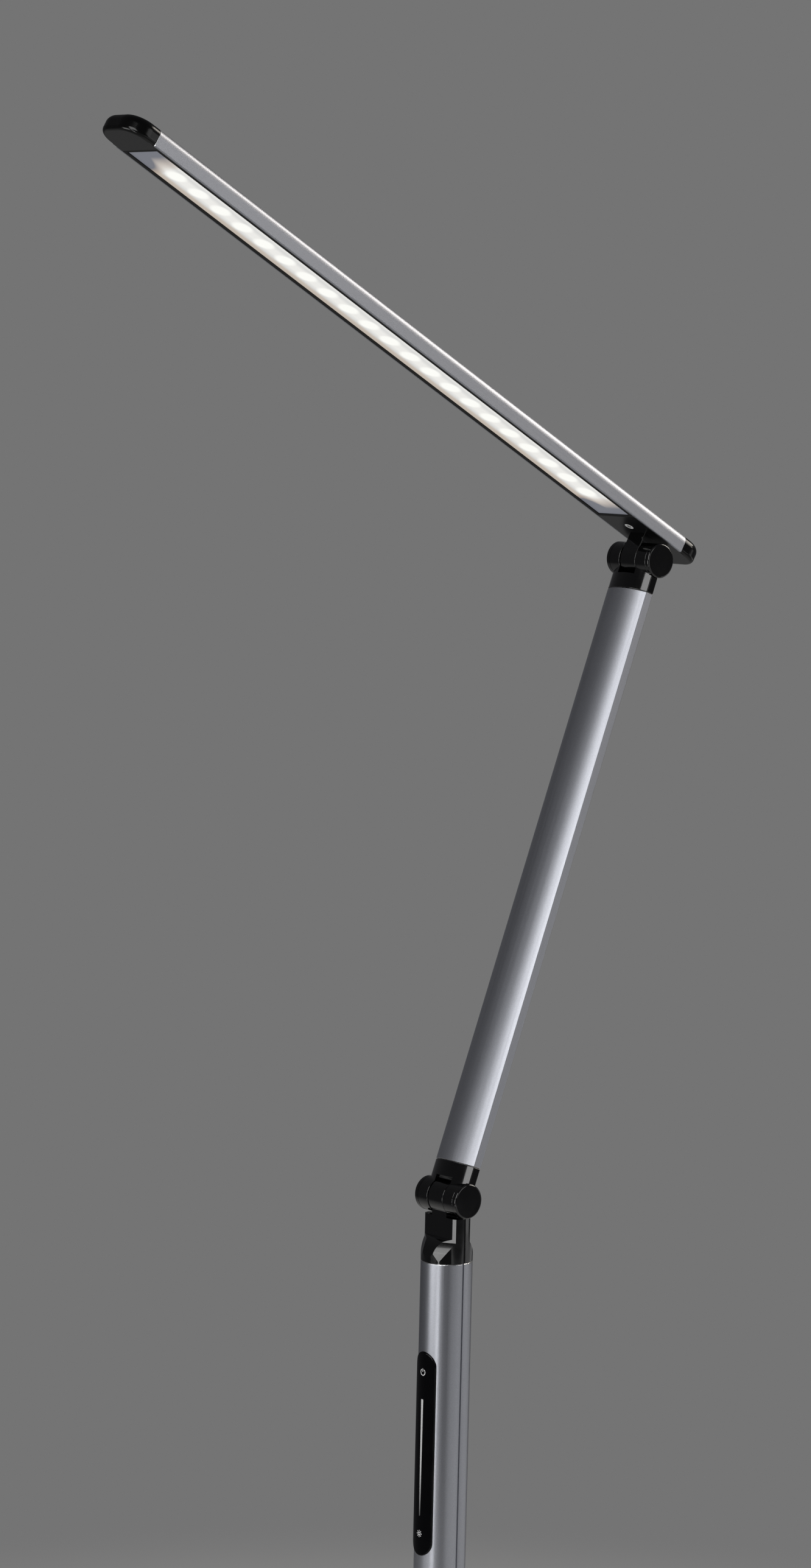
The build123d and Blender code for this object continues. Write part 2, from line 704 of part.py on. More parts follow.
def hinge_pieces(name, side):
    """The bolt, nut, washers, bush and caps of one hinge, about the normal of its side plane."""
    with BuildPart() as bolt:
        with BuildSketch(side.offset(-cap_recess_floor)):
            Circle(bolt_diameter / 2)
        extrude(amount=cap_recess_floor + bolt_seat)
        with BuildSketch(side.offset(bolt_seat)):
            Circle(bolt_head_diameter / 2)
        extrude(amount=bolt_head_height)
        with BuildSketch(side.offset(bolt_seat + bolt_head_height)):
            RegularPolygon(bolt_socket_flats / 2, 6, major_radius=False)
        extrude(amount=-bolt_socket_depth, mode=Mode.SUBTRACT)
    save(bolt, f"{name}_bolt")

    with BuildPart() as nut:
        with BuildSketch(side.offset(-cap_recess_floor)):
            RegularPolygon(nut_flats / 2, 6, major_radius=False)
            Circle(bolt_hole_radius, mode=Mode.SUBTRACT)
        extrude(amount=nut_thickness)
    save(nut, f"{name}_nut")

    with BuildPart() as washers:
        for face in (1, -1):
            with BuildSketch(side.offset(face * washer_inside)):
                Circle(hinge_washer_diameter / 2)
                Circle(bolt_hole_radius, mode=Mode.SUBTRACT)
            extrude(amount=face * hinge_washer_thickness)
    save(washers, f"{name}_washers")

    with BuildPart() as bush:
        with BuildSketch(side):
            Circle(hinge_bush_diameter / 2 - run_fit)
            Circle(bolt_hole_radius, mode=Mode.SUBTRACT)
        extrude(amount=tongue_width / 2, both=True)
    save(bush, f"{name}_bush")

    with BuildPart() as caps:
        for face in (1, -1):
            with BuildSketch(side.offset(face * ear_outside)):
                Circle(hinge_radius)
            extrude(amount=face * ear_cap_thickness)
            with BuildSketch(side.offset(face * ear_outside)):
                Circle(cap_spigot_diameter / 2)
            extrude(amount=-face * cap_spigot_length)
        fillet(caps.edges().group_by(Axis.X)[-1], radius=ear_cap_round)
        fillet(caps.edges().group_by(Axis.X)[0], radius=ear_cap_round)
    save(caps, f"{name}_caps")


hinge_pieces("elbow", Plane(origin=elbow, x_dir=arm_back, z_dir=across))
hinge_pieces("head", Plane(origin=head_axis, x_dir=arm_back, z_dir=across))


def bar_outline():
    """The outside of the head's section: flat below, rounded along its upper edges."""
    with BuildSketch() as outline:
        with Locations((0, bar_underside)):
            Rectangle(bar_width, bar_thickness, align=(Align.CENTER, Align.MIN))
        fillet(outline.vertices().group_by(Axis.Y)[-1], radius=bar_round)
        fillet(outline.vertices().group_by(Axis.Y)[0], radius=bar_lower_round)
    return outline.sketch


# Head bar: an extrusion, open below, with ledges that hold the light board under its roof
with BuildPart() as head_bar:
    with BuildSketch(head_frame.offset(-bar_rear)):
        add(bar_outline())
    extrude(amount=bar_front + bar_rear)
    chamfer(sawn_rims(head_bar, head_along), length=bar_cut_edge)
    with BuildSketch(head_frame.offset(-bar_rear)):
        with Locations((0, bar_underside)):
            Rectangle(2 * channel_half_width, channel_depth, align=(Align.CENTER, Align.MIN))
        with Locations((0, channel_ceiling)):
            Rectangle(2 * throat_half_width, throat_height, align=(Align.CENTER, Align.MIN))
        with Locations((0, throat_top)):
            Rectangle(2 * slot_half_width, slot_height, align=(Align.CENTER, Align.MIN))
    extrude(amount=bar_front + bar_rear, mode=Mode.SUBTRACT)
save(head_bar, "head_bar")


def end_cap(start, outward):
    """A rounded cap on one end of the bar, with a plug between the bar's walls."""
    plan = Plane(origin=start, x_dir=outward.cross(head_up), z_dir=head_up)
    with BuildPart() as cap:
        with BuildSketch(plan) as shape:
            Rectangle(bar_width, end_cap_length, align=(Align.CENTER, Align.MIN))
            fillet(shape.vertices().group_by(Axis.Y)[-1], radius=end_cap_corner)
        extrude(amount=bar_thickness)
        rise = Axis(origin=start, direction=head_up)
        reach = Axis(origin=start, direction=outward)
        rim = cap.faces().sort_by(rise)[-1].edges().sort_by(reach)[1:]
        fillet(rim, radius=bar_round)
        foot_rim = cap.faces().sort_by(rise)[0].edges().sort_by(reach)[1:]
        fillet(foot_rim, radius=end_cap_lower_round)
        with BuildSketch(plan):
            Rectangle(
                2 * (channel_half_width - slide_fit), 2 * end_cap_plug, align=(Align.CENTER, Align.CENTER)
            )
        extrude(amount=channel_depth - slide_fit)
    return cap


tip_cap = end_cap(head_point(bar_front, bar_underside), head_along)
save(tip_cap, "tip_cap")
rear_cap = end_cap(head_point(-bar_rear, bar_underside), -head_along)
save(rear_cap, "rear_cap")

# Light board under the roof of the bar
with BuildPart() as led_board:
    with BuildSketch(head_frame.offset(window_rear + led_board_end_room)):
        with Locations((0, slot_top)):
            Rectangle(
                2 * (slot_half_width - slide_fit), led_board_thickness, align=(Align.CENTER, Align.MAX)
            )
    extrude(amount=window_span - 2 * led_board_end_room)
save(led_board, "led_board")

# Light emitters along the board
led_plane = Plane(
    origin=head_point((window_front + window_rear) / 2, slot_top - led_board_thickness),
    x_dir=across,
    z_dir=-head_up,
)
with BuildPart() as leds:
    with BuildSketch(led_plane):
        with GridLocations(led_pitch, led_pitch, 1, led_count):
            Rectangle(led_size, led_breadth)
    extrude(amount=led_thickness)
save(leds, "leds")

# Rails: black strips along the window's sides that hold the diffuser, and a bar across each end
rail_outside = channel_half_width - slide_fit
rail_width = rail_outside - diffuser_half_width
rail_middle = diffuser_half_width + rail_width / 2
with BuildPart() as diffuser_rails:
    with BuildSketch(head_frame.offset(window_rear)):
        with Locations((rail_middle, bar_underside), (-rail_middle, bar_underside)):
            Rectangle(rail_width, channel_depth - slide_fit, align=(Align.CENTER, Align.MIN))
        with Locations((0, bar_underside + diffuser_recess - run_fit)):
            Rectangle(
                2 * (diffuser_half_width + diffuser_lip + slide_fit),
                diffuser_thickness + 2 * run_fit,
                align=(Align.CENTER, Align.MIN),
                mode=Mode.SUBTRACT,
            )
    extrude(amount=window_span)
    for start in (window_rear, window_front - window_end_bar):
        with BuildSketch(head_frame.offset(start)):
            with Locations((0, bar_underside)):
                Rectangle(
                    2 * (diffuser_half_width - slide_fit),
                    channel_depth - slide_fit,
                    align=(Align.CENTER, Align.MIN),
                )
        extrude(amount=window_end_bar)
save(diffuser_rails, "diffuser_rails")

# Diffuser: an opal strip between the rails
with BuildPart() as diffuser:
    with BuildSketch(head_frame.offset(window_rear + window_end_bar + slide_fit)):
        with Locations((0, bar_underside + diffuser_recess)):
            Rectangle(
                2 * (diffuser_half_width + diffuser_lip), diffuser_thickness, align=(Align.CENTER, Align.MIN)
            )
    extrude(amount=window_span - 2 * (window_end_bar + slide_fit))
save(diffuser, "diffuser")

# Rear panel: closes the bar around the knuckle
underside = Plane(origin=head_point(0, bar_underside), x_dir=-across, z_dir=head_up)
with BuildPart() as rear_panel:
    with BuildSketch(head_frame.offset(panel_rear)):
        with Locations((0, bar_underside)):
            Rectangle(
                2 * (channel_half_width - slide_fit), panel_thickness, align=(Align.CENTER, Align.MIN)
            )
    extrude(amount=window_rear - panel_rear)
    with BuildSketch(underside):
        with Locations((0, knuckle_block_shift)):
            Rectangle(knuckle_block_width + 2 * slide_fit, knuckle_block_length + 2 * slide_fit)
    extrude(amount=panel_thickness, mode=Mode.SUBTRACT)
    with Locations(Plane(origin=head_point(panel_screw_place, bar_underside), z_dir=-head_up)):
        CounterSinkHole(
            screw_diameter / 2 + slide_fit,
            screw_head_diameter / 2 + slide_fit,
            counter_sink_angle=screw_head_angle,
        )
save(rear_panel, "rear_panel")

# Carrier: a steel plate in the bar that the knuckle is bolted to
screw_seats = [
    head_point(knuckle_block_shift + side * knuckle_screw_spacing / 2, channel_ceiling) for side in (1, -1)
]
with BuildPart() as knuckle_carrier:
    with BuildSketch(head_frame.offset(-carrier_rear)):
        with Locations((0, panel_top)):
            Rectangle(
                2 * (channel_half_width - slide_fit),
                channel_ceiling - panel_top,
                align=(Align.CENTER, Align.MIN),
            )
    extrude(amount=carrier_rear + carrier_front)
    for seat in screw_seats + [head_point(panel_screw_place, channel_ceiling)]:
        with BuildSketch(Plane(origin=seat, x_dir=across, z_dir=head_up)):
            Circle(screw_diameter / 2 + run_fit)
        extrude(amount=panel_top - channel_ceiling, mode=Mode.SUBTRACT)
save(knuckle_carrier, "knuckle_carrier")

# Head knuckle: the tongue of the head's hinge, with a block that passes through the panel to the carrier
with BuildPart() as head_knuckle:
    with BuildSketch(head_side):
        Circle(tongue_radius)
        Rectangle(bar_underside, 2 * tongue_radius, align=(Align.MIN, Align.CENTER))
    extrude(amount=tongue_width / 2, both=True)
    fillet(head_knuckle.edges().filter_by(tongue_rim), radius=mould_round)
    with BuildSketch(underside):
        with Locations((0, knuckle_block_shift)):
            Rectangle(knuckle_block_width, knuckle_block_length)
    extrude(amount=panel_thickness)
    with BuildSketch(head_side):
        Circle(tongue_bore_radius)
    extrude(amount=tongue_width, both=True, mode=Mode.SUBTRACT)
    for seat in screw_seats:
        with BuildSketch(Plane(origin=seat, x_dir=across, z_dir=head_up)):
            Circle(screw_diameter / 2 + run_fit)
        extrude(amount=-screw_grip, mode=Mode.SUBTRACT)
save(head_knuckle, "head_knuckle")

# Knuckle screws: down through the carrier into the knuckle
with BuildPart() as knuckle_screws:
    for seat in screw_seats:
        seat_plane = Plane(origin=seat, x_dir=across, z_dir=head_up)
        with BuildSketch(seat_plane):
            Circle(screw_diameter / 2)
        extrude(amount=-screw_grip)
        with BuildSketch(seat_plane):
            Circle(screw_head_diameter / 2)
        extrude(amount=screw_head_height)
        with BuildSketch(seat_plane.offset(screw_head_height)):
            RegularPolygon(screw_socket_flats / 2, 6, major_radius=False)
        extrude(amount=-screw_socket_depth, mode=Mode.SUBTRACT)
save(knuckle_screws, "knuckle_screws")

# Panel screw: up through the rear panel into the carrier
panel_screw_plane = Plane(origin=head_point(panel_screw_place, bar_underside), x_dir=across, z_dir=head_up)
panel_head_depth = (screw_head_diameter - screw_diameter) / 2 / tan(radians(screw_head_angle / 2))
with BuildPart() as panel_screw:
    with BuildSketch(panel_screw_plane):
        Circle(screw_diameter / 2)
    extrude(amount=channel_depth)
    with Locations(panel_screw_plane):
        Cone(
            screw_head_diameter / 2,
            screw_diameter / 2,
            panel_head_depth,
            align=(Align.CENTER, Align.CENTER, Align.MIN),
        )
    with BuildSketch(panel_screw_plane):
        Rectangle(screw_slot_length, screw_slot_width)
        Rectangle(screw_slot_width, screw_slot_length)
    extrude(amount=screw_slot_depth, mode=Mode.SUBTRACT)
save(panel_screw, "panel_screw")
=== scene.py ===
# %% [markdown]
# A swing arm desk lamp
#
# The lamp has a long lit bar for a head, an oval arm, a round post with a touch strip, and a weighted
# base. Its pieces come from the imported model, at their real size and place. This lesson gives each of
# them its finish, prints the marks on the touch strip, lights the lamp as in a small studio and sets the
# camera. Lengths are in metres: MM turns a size in millimetres into one.

# %% Load the model
import json
from math import cos, pi, radians, sin

import bmesh
import bpy
from mathutils import Matrix, Vector


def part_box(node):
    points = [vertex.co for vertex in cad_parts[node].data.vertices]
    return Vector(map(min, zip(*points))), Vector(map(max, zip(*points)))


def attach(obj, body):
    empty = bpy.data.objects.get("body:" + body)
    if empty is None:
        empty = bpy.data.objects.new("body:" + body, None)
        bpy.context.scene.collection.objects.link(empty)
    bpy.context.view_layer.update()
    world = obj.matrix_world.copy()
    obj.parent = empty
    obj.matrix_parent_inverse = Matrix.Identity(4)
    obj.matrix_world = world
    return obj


MM = 0.001

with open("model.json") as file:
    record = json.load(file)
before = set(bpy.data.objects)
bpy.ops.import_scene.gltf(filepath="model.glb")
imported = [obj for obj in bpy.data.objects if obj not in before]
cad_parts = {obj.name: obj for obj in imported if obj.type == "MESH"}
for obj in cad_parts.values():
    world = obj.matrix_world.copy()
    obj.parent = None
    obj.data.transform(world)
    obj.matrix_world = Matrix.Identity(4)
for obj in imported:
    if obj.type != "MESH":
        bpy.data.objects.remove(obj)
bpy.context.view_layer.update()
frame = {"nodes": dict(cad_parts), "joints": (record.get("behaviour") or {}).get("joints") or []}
nodes = frame["nodes"]
joints = {joint["name"]: joint for joint in frame["joints"]}

# %% [markdown]
# Directions on the lamp
#
# The finishes follow the pieces: drawing lines run along a tube, and the light points sit along the head.
# The post is upright. The arm runs from the elbow's axis to the head's, and both are joints of the model,
# so its direction is measured from them. The head has no second joint to measure to, so its direction is
# worked out from the angle that it is set to.

# %% Directions
HEAD_RISE = radians(29.5)  # above level, towards the front

post_along = Vector((0, 0, 1))
arm_reach = Vector(joints["head_tilt"]["pos_m"]) - Vector(joints["elbow"]["pos_m"])
arm_along = arm_reach.normalized()
head_along = Vector((0, -cos(HEAD_RISE), sin(HEAD_RISE)))
head_up = Vector((0, sin(HEAD_RISE), cos(HEAD_RISE)))
print("the arm is", round(arm_reach.length / MM, 1), "mm from axis to axis")

# %% [markdown]
# Small helpers
#
# Colours are written as they look on a screen, as sRGB hex values, and shaders work in linear light, so
# one function turns the first into the second. Another starts an empty material. The third adds one node
# to it: the node's inputs are either plain values or the outputs of nodes made before it, and its
# settings are the node's own properties.


# %% Helpers for colours and nodes
def linear(hex_colour):
    """The linear colour of an sRGB hex value such as 8f9198."""
    channels = [int(hex_colour[i : i + 2], 16) / 255 for i in (0, 2, 4)]
    return [c / 12.92 if c <= 0.04045 else ((c + 0.055) / 1.055) ** 2.4 for c in channels] + [1.0]


def new_material(name):
    """A material without any nodes."""
    material = bpy.data.materials.new(name)
    material.use_nodes = True
    material.node_tree.nodes.clear()
    return material


def node(owner, kind, inputs, **settings):
    """Add a node to a material or a world and return it."""
    tree = owner.node_tree
    made = tree.nodes.new("ShaderNode" + kind)
    for name, value in settings.items():
        setattr(made, name, value)
    for socket, value in inputs.items():
        if isinstance(value, bpy.types.NodeSocket):
            tree.links.new(value, made.inputs[socket])
        else:
            made.inputs[socket].default_value = value
    return made


print("mid grey is", [round(c, 3) for c in linear("808080")[:3]])

# %% [markdown]
# Satin anodised aluminium
#
# The post, the arm, the head and the base cover are aluminium: drawn, extruded or pressed, blasted with
# fine grit, and anodised clear. The blasting makes it shine softly, with a fine sparkle, and the clear
# layer leaves the metal slightly blue. A flat grey would look like paint, so the metal gets two patterns.
# One is the grain of the blasting. The other is the faint lines that drawing leaves along a tube: the
# same kind of noise, with its coordinates squeezed along the tube so that the pattern stretches. The grit
# is about 0.15 mm and the lines are finer still, which is too fine to show, so the grain is drawn at 0.5
# mm and the lines at 0.7 mm. The post was drawn more finely than the other pieces, and shines a little
# more.

# %% Anodised aluminium
GRAIN = 0.5 * MM
DRAWN_LINE = 0.7 * MM
DRAWN_STRETCH = 300  # a line's length over its width
GRAIN_DEPTH = 0.05 * MM
GRAIN_STRENGTH = 0.02
NOISE_SPAN = (0.3, 0.7)  # where most of a noise's values lie
SATIN = (0.40, 0.47)  # roughness
FINE_SATIN = (0.32, 0.38)


def anodised_aluminium(name, along, gloss):
    """Blasted and anodised metal between two roughness values, with drawing lines along a direction."""
    metal = new_material(name)
    place = node(metal, "TexCoord", {}).outputs["Object"]
    grain = node(metal, "TexNoise", {"Vector": place, "Scale": 1 / GRAIN, "Detail": 1.0, "Roughness": 0.6})
    reach = node(metal, "VectorMath", {0: place, 1: along}, operation="DOT_PRODUCT").outputs["Value"]
    squeeze = node(metal, "Math", {0: reach, 1: 1 / DRAWN_STRETCH - 1}, operation="MULTIPLY")
    shift = node(metal, "VectorMath", {0: along, "Scale": squeeze.outputs[0]}, operation="SCALE")
    squeezed = node(metal, "VectorMath", {0: place, 1: shift.outputs[0]}, operation="ADD")
    lines = node(metal, "TexNoise", {"Vector": squeezed.outputs[0], "Scale": 1 / DRAWN_LINE, "Detail": 2.0})
    tone = node(
        metal,
        "Mix",
        {"Factor": grain.outputs[0], "A": linear("b0b2b9"), "B": linear("cdcfd6")},
        data_type="RGBA",
    )
    shine = node(
        metal,
        "MapRange",
        {
            "Value": lines.outputs[0],
            "From Min": NOISE_SPAN[0],
            "From Max": NOISE_SPAN[1],
            "To Min": gloss[0],
            "To Max": gloss[1],
        },
    )
    height = node(metal, "Math", {0: grain.outputs[0], 1: lines.outputs[0]}, operation="ADD")
    bump = node(
        metal,
        "Bump",
        {"Height": height.outputs[0], "Strength": GRAIN_STRENGTH, "Distance": GRAIN_DEPTH},
    )
    shader = node(
        metal,
        "BsdfPrincipled",
        {
            "Base Color": tone.outputs[2],
            "Metallic": 1.0,
            "Roughness": shine.outputs[0],
            "Normal": bump.outputs[0],
        },
    )
    node(metal, "OutputMaterial", {"Surface": shader.outputs[0]})
    return metal


post_metal = anodised_aluminium("anodised_aluminium_post", post_along, FINE_SATIN)
arm_metal = anodised_aluminium("anodised_aluminium_arm", arm_along, SATIN)
head_metal = anodised_aluminium("anodised_aluminium_head", head_along, SATIN)
base_metal = anodised_aluminium("anodised_aluminium_base", post_along, SATIN)
print("metal grain", GRAIN / MM, "mm, drawn lines", DRAWN_LINE / MM, "mm")

# %% [markdown]
# Gloss black plastics
#
# The hinges and collars are ABS, moulded in a polished tool and lacquered. The head's end caps are the
# same plastic without the lacquer, which leaves their shine softer. The touch strip's lens is acrylic
# with a coat against glare, so it mirrors less than bare acrylic would and looks the blackest of all.
# Polished black plastic shows almost only reflections, so what tells it from black glass is small: a
# faint waviness from shrinking as it cooled, about 6 mm from crest to crest, and a haze of handling that
# softens the shine in places.

# %% Gloss black plastics
WAVE = 6 * MM
WAVE_DEPTH = 0.05 * MM
WAVE_STRENGTH = 0.1
HAZE = 14 * MM
HAZE_SPAN = (0.35, 0.7)
LACQUER_ROUGHNESS = 0.04


def gloss_plastic(name, colour, ior, gloss, lacquer):
    """Polished moulded plastic between two roughness values, with or without a coat of lacquer."""
    plastic = new_material(name)
    place = node(plastic, "TexCoord", {}).outputs["Object"]
    wave = node(plastic, "TexNoise", {"Vector": place, "Scale": 1 / WAVE, "Detail": 0.0})
    haze = node(plastic, "TexNoise", {"Vector": place, "Scale": 1 / HAZE, "Detail": 4.0, "Roughness": 0.65})
    shine = node(
        plastic,
        "MapRange",
        {
            "Value": haze.outputs[0],
            "From Min": HAZE_SPAN[0],
            "From Max": HAZE_SPAN[1],
            "To Min": gloss[0],
            "To Max": gloss[1],
        },
    )
    bump = node(
        plastic,
        "Bump",
        {"Height": wave.outputs[0], "Strength": WAVE_STRENGTH, "Distance": WAVE_DEPTH},
    )
    shader = node(
        plastic,
        "BsdfPrincipled",
        {
            "Base Color": linear(colour),
            "Roughness": shine.outputs[0],
            "IOR": ior,
            "Normal": bump.outputs[0],
            "Coat Weight": lacquer,
            "Coat Roughness": LACQUER_ROUGHNESS,
        },
    )
    node(plastic, "OutputMaterial", {"Surface": shader.outputs[0]})
    return plastic


black_abs = gloss_plastic("gloss_black_abs", "030303", ior=1.54, gloss=(0.08, 0.16), lacquer=0.7)
cap_abs = gloss_plastic("satin_black_abs", "030303", ior=1.46, gloss=(0.14, 0.22), lacquer=0.0)
lens_pmma = gloss_plastic("touch_lens_acrylic", "030304", ior=1.40, gloss=(0.05, 0.12), lacquer=0.0)
print("black plastic waves", WAVE / MM, "mm, haze", HAZE / MM, "mm")

# %% [markdown]
# Etched, cast and coated surfaces
#
# The panel around the head's hinge and the undersides of the end caps are black too, but their tool was
# etched. That leaves a fine pebble of about 0.3 mm, drawn at 0.8 mm so that it shows, and a satin shine:
# seen at a shallow angle they take on the grey of the floor below. Extruded, turned, cast and coated
# pieces have a grain of the same kind and differ in its size, its depth, their colour and their shine, so
# one function makes them all. The screw in the panel is given a pale, matte colour: a painted glint, which
# shows as a bright point on the black.

# %% Etched, cast and coated surfaces
PEBBLE = 0.8 * MM
PEBBLE_STRENGTH = 0.5
PLASTIC_IOR = 1.53


def pebbled_surface(name, colours, roughness, depth, pebble=PEBBLE):
    """Matte surface with a pebbled grain, from a dark and a light colour."""
    surface = new_material(name)
    place = node(surface, "TexCoord", {}).outputs["Object"]
    grain = node(surface, "TexVoronoi", {"Vector": place, "Scale": 1 / pebble, "Randomness": 1.0})
    pebbles = grain.outputs["Distance"]
    tone = node(
        surface,
        "Mix",
        {"Factor": pebbles, "A": linear(colours[0]), "B": linear(colours[1])},
        data_type="RGBA",
    )
    bump = node(surface, "Bump", {"Height": pebbles, "Strength": PEBBLE_STRENGTH, "Distance": depth})
    shader = node(
        surface,
        "BsdfPrincipled",
        {
            "Base Color": tone.outputs[2],
            "Roughness": roughness,
            "IOR": PLASTIC_IOR,
            "Normal": bump.outputs[0],
        },
    )
    node(surface, "OutputMaterial", {"Surface": shader.outputs[0]})
    return surface


etched_abs = pebbled_surface("etched_black_abs", ("070708", "0c0c0d"), roughness=0.28, depth=0.01 * MM)
rail_abs = pebbled_surface("extruded_black_abs", ("060606", "0a0a0a"), roughness=0.75, depth=0.02 * MM)
inlet_nylon = pebbled_surface("moulded_black_nylon", ("0f0f10", "1a1a1b"), roughness=0.5, depth=0.04 * MM)
acetal = pebbled_surface("turned_grey_acetal", ("3c3c3d", "4a4a4b"), roughness=0.4, depth=0.02 * MM)
# the panel's screw: a pale, matte colour painted on as its glint
painted_glint_coat = pebbled_surface("pale_screw_painted_glint", ("d4d4d3", "e8e8e7"), roughness=0.5, depth=0.02 * MM)
plate_paint = pebbled_surface("powder_coated_steel", ("121213", "1c1c1d"), roughness=0.6, depth=0.06 * MM)
pad_rubber = pebbled_surface("moulded_rubber", ("141414", "1e1e1e"), 0.85, 0.15 * MM, pebble=1.5 * MM)
weight_iron = pebbled_surface("cast_iron", ("303030", "4a4846"), 0.75, 0.3 * MM, pebble=2.0 * MM)
print("pebble", PEBBLE / MM, "mm")

# %% [markdown]
# Bright metals
#
# The bolts, most screws and the swivel's spindle are turned steel with a bright zinc plate. Plating is a
# little cloudy, so a slow noise moves both its colour and its shine. The tubes and the bar were cut to
# length after they had been anodised, so their rims are bare metal, which is the same kind of finish,
# only whiter.

# %% Bright metals
CLOUD = 3 * MM


def bright_metal(name, tones, gloss):
    """Shiny metal with a faint cloudiness, between two colours and two roughness values."""
    metal = new_material(name)
    place = node(metal, "TexCoord", {}).outputs["Object"]
    cloud = node(metal, "TexNoise", {"Vector": place, "Scale": 1 / CLOUD, "Detail": 4.0}).outputs[0]
    tone = node(
        metal,
        "Mix",
        {"Factor": cloud, "A": linear(tones[0]), "B": linear(tones[1])},
        data_type="RGBA",
    )
    shine = node(
        metal,
        "MapRange",
        {
            "Value": cloud,
            "From Min": NOISE_SPAN[0],
            "From Max": NOISE_SPAN[1],
            "To Min": gloss[0],
            "To Max": gloss[1],
        },
    )
    shader = node(
        metal,
        "BsdfPrincipled",
        {"Base Color": tone.outputs[2], "Metallic": 1.0, "Roughness": shine.outputs[0]},
    )
    node(metal, "OutputMaterial", {"Surface": shader.outputs[0]})
    return metal


zinc_steel = bright_metal("zinc_plated_steel", ("9a9da3", "cfd0cd"), (0.2, 0.34))
cut_metal = bright_metal("bright_cut_aluminium", ("dcdde0", "f2f2f2"), (0.24, 0.32))
print("plating clouds", CLOUD / MM, "mm")

# %% [markdown]
# Circuit boards
#
# The boards are glass laminate under a coat of solder mask, green in the base and the post, white on the
# light board so that it throws the light forward. Copper tracks under the mask show as a faint grid of
# lines, for which a brick pattern with thin joints is enough.

# %% Circuit boards
TRACK_SPACING = 2.5 * MM
TRACK_SHARE = 0.08  # of the spacing
MASK_IOR = 1.5
MASK_ROUGHNESS = 0.35


def circuit_board(name, mask, track):
    """Laminate under solder mask, with tracks that show through."""
    board = new_material(name)
    place = node(board, "TexCoord", {}).outputs["Object"]
    tracks = node(
        board,
        "TexBrick",
        {
            "Vector": place,
            "Scale": 1 / TRACK_SPACING,
            "Color1": linear(mask),
            "Color2": linear(mask),
            "Mortar": linear(track),
            "Mortar Size": TRACK_SHARE,
        },
    )
    shader = node(
        board,
        "BsdfPrincipled",
        {"Base Color": tracks.outputs[0], "Roughness": MASK_ROUGHNESS, "IOR": MASK_IOR},
    )
    node(board, "OutputMaterial", {"Surface": shader.outputs[0]})
    return board


green_board = circuit_board("green_solder_mask", mask="0f4a26", track="1c6b3a")
white_board = circuit_board("white_solder_mask", mask="e6e6e2", track="d8d8d2")
print("tracks", TRACK_SPACING / MM, "mm apart")

# %% [markdown]
# Opal acrylic, lit
#
# The diffuser is extruded acrylic with a white filler. The lamp is on: behind the strip sits a row of
# light emitters, and each one shows as a soft spot, with slightly greyer light between the spots. Real
# light through a real filler would be slow and grainy to render, so the light is worked out from the
# emitters' places and given to the surface as emission. The row comes first: its middle is the middle of
# the box around the emitters.

# %% The row of emitters
LED_PITCH = 17.1 * MM
LED_COUNT = 21

leds_low, leds_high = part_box("leds")
row_middle = (leds_low + leds_high) / 2
row_length = LED_PITCH * (LED_COUNT - 1)
first_led = row_middle - head_along * row_length / 2
print(LED_COUNT, "emitters over", round(row_length / MM), "mm")

# %% [markdown]
# Light spots
#
# A spot is brightest within a few millimetres of its emitter and falls off around that. It is broader
# across the head than along it. The nearest emitter's number is the distance along the head over the
# pitch, rounded and kept within the row, so one small set of nodes draws the whole row.

# %% Light spots
SPOT_CORE = 3.8 * MM  # along the head
SPOT_RADIUS = 6.6 * MM
SPOT_BREADTH = 1.35  # size across the head, over size along it


def light_spots(opal, along, across):
    """How near a place on the strip is to an emitter: 1 in a spot, 0 between two spots."""
    steps = node(opal, "Math", {0: along, 1: LED_PITCH}, operation="DIVIDE").outputs[0]
    nearest = node(opal, "Math", {0: steps}, operation="ROUND").outputs[0]
    number = node(opal, "Clamp", {"Value": nearest, "Min": 0, "Max": LED_COUNT - 1}).outputs[0]
    led_place = node(opal, "Math", {0: number, 1: LED_PITCH}, operation="MULTIPLY").outputs[0]
    past_led = node(opal, "Math", {0: along, 1: led_place}, operation="SUBTRACT").outputs[0]
    drawn_in = node(opal, "Math", {0: across, 1: SPOT_BREADTH}, operation="DIVIDE").outputs[0]
    offset = node(opal, "CombineXYZ", {"X": drawn_in, "Y": past_led}).outputs[0]
    distance = node(opal, "VectorMath", {0: offset}, operation="LENGTH").outputs["Value"]
    spot = node(
        opal,
        "MapRange",
        {"Value": distance, "From Min": SPOT_CORE, "From Max": SPOT_RADIUS, "To Min": 1.0, "To Max": 0.0},
        interpolation_type="SMOOTHSTEP",
    )
    return spot.outputs[0]


print("a spot is", round(2 * SPOT_RADIUS / MM, 1), "mm long")

# %% [markdown]
# Dark ends
#
# The last emitters are some way off the strip's ends, so the light fades there to a grey that the strip
# still gives off: a painted glow in place of unlit acrylic. It fades sooner towards the strip's left edge,
# which gives the lit part a slanting end. Distances past the row are stretched on that side, because then
# one fade serves for both sides.

# %% Dark ends
GLOW_START = 6.2 * MM  # past the last emitter
GLOW_END = 19.5 * MM
FADE_POWER = 1.2
SLANT_EDGE = -12 * MM  # across the head, from its middle
SLANT_INSIDE = 0.0
SLANT = 2.2  # how many times a distance is stretched at that edge


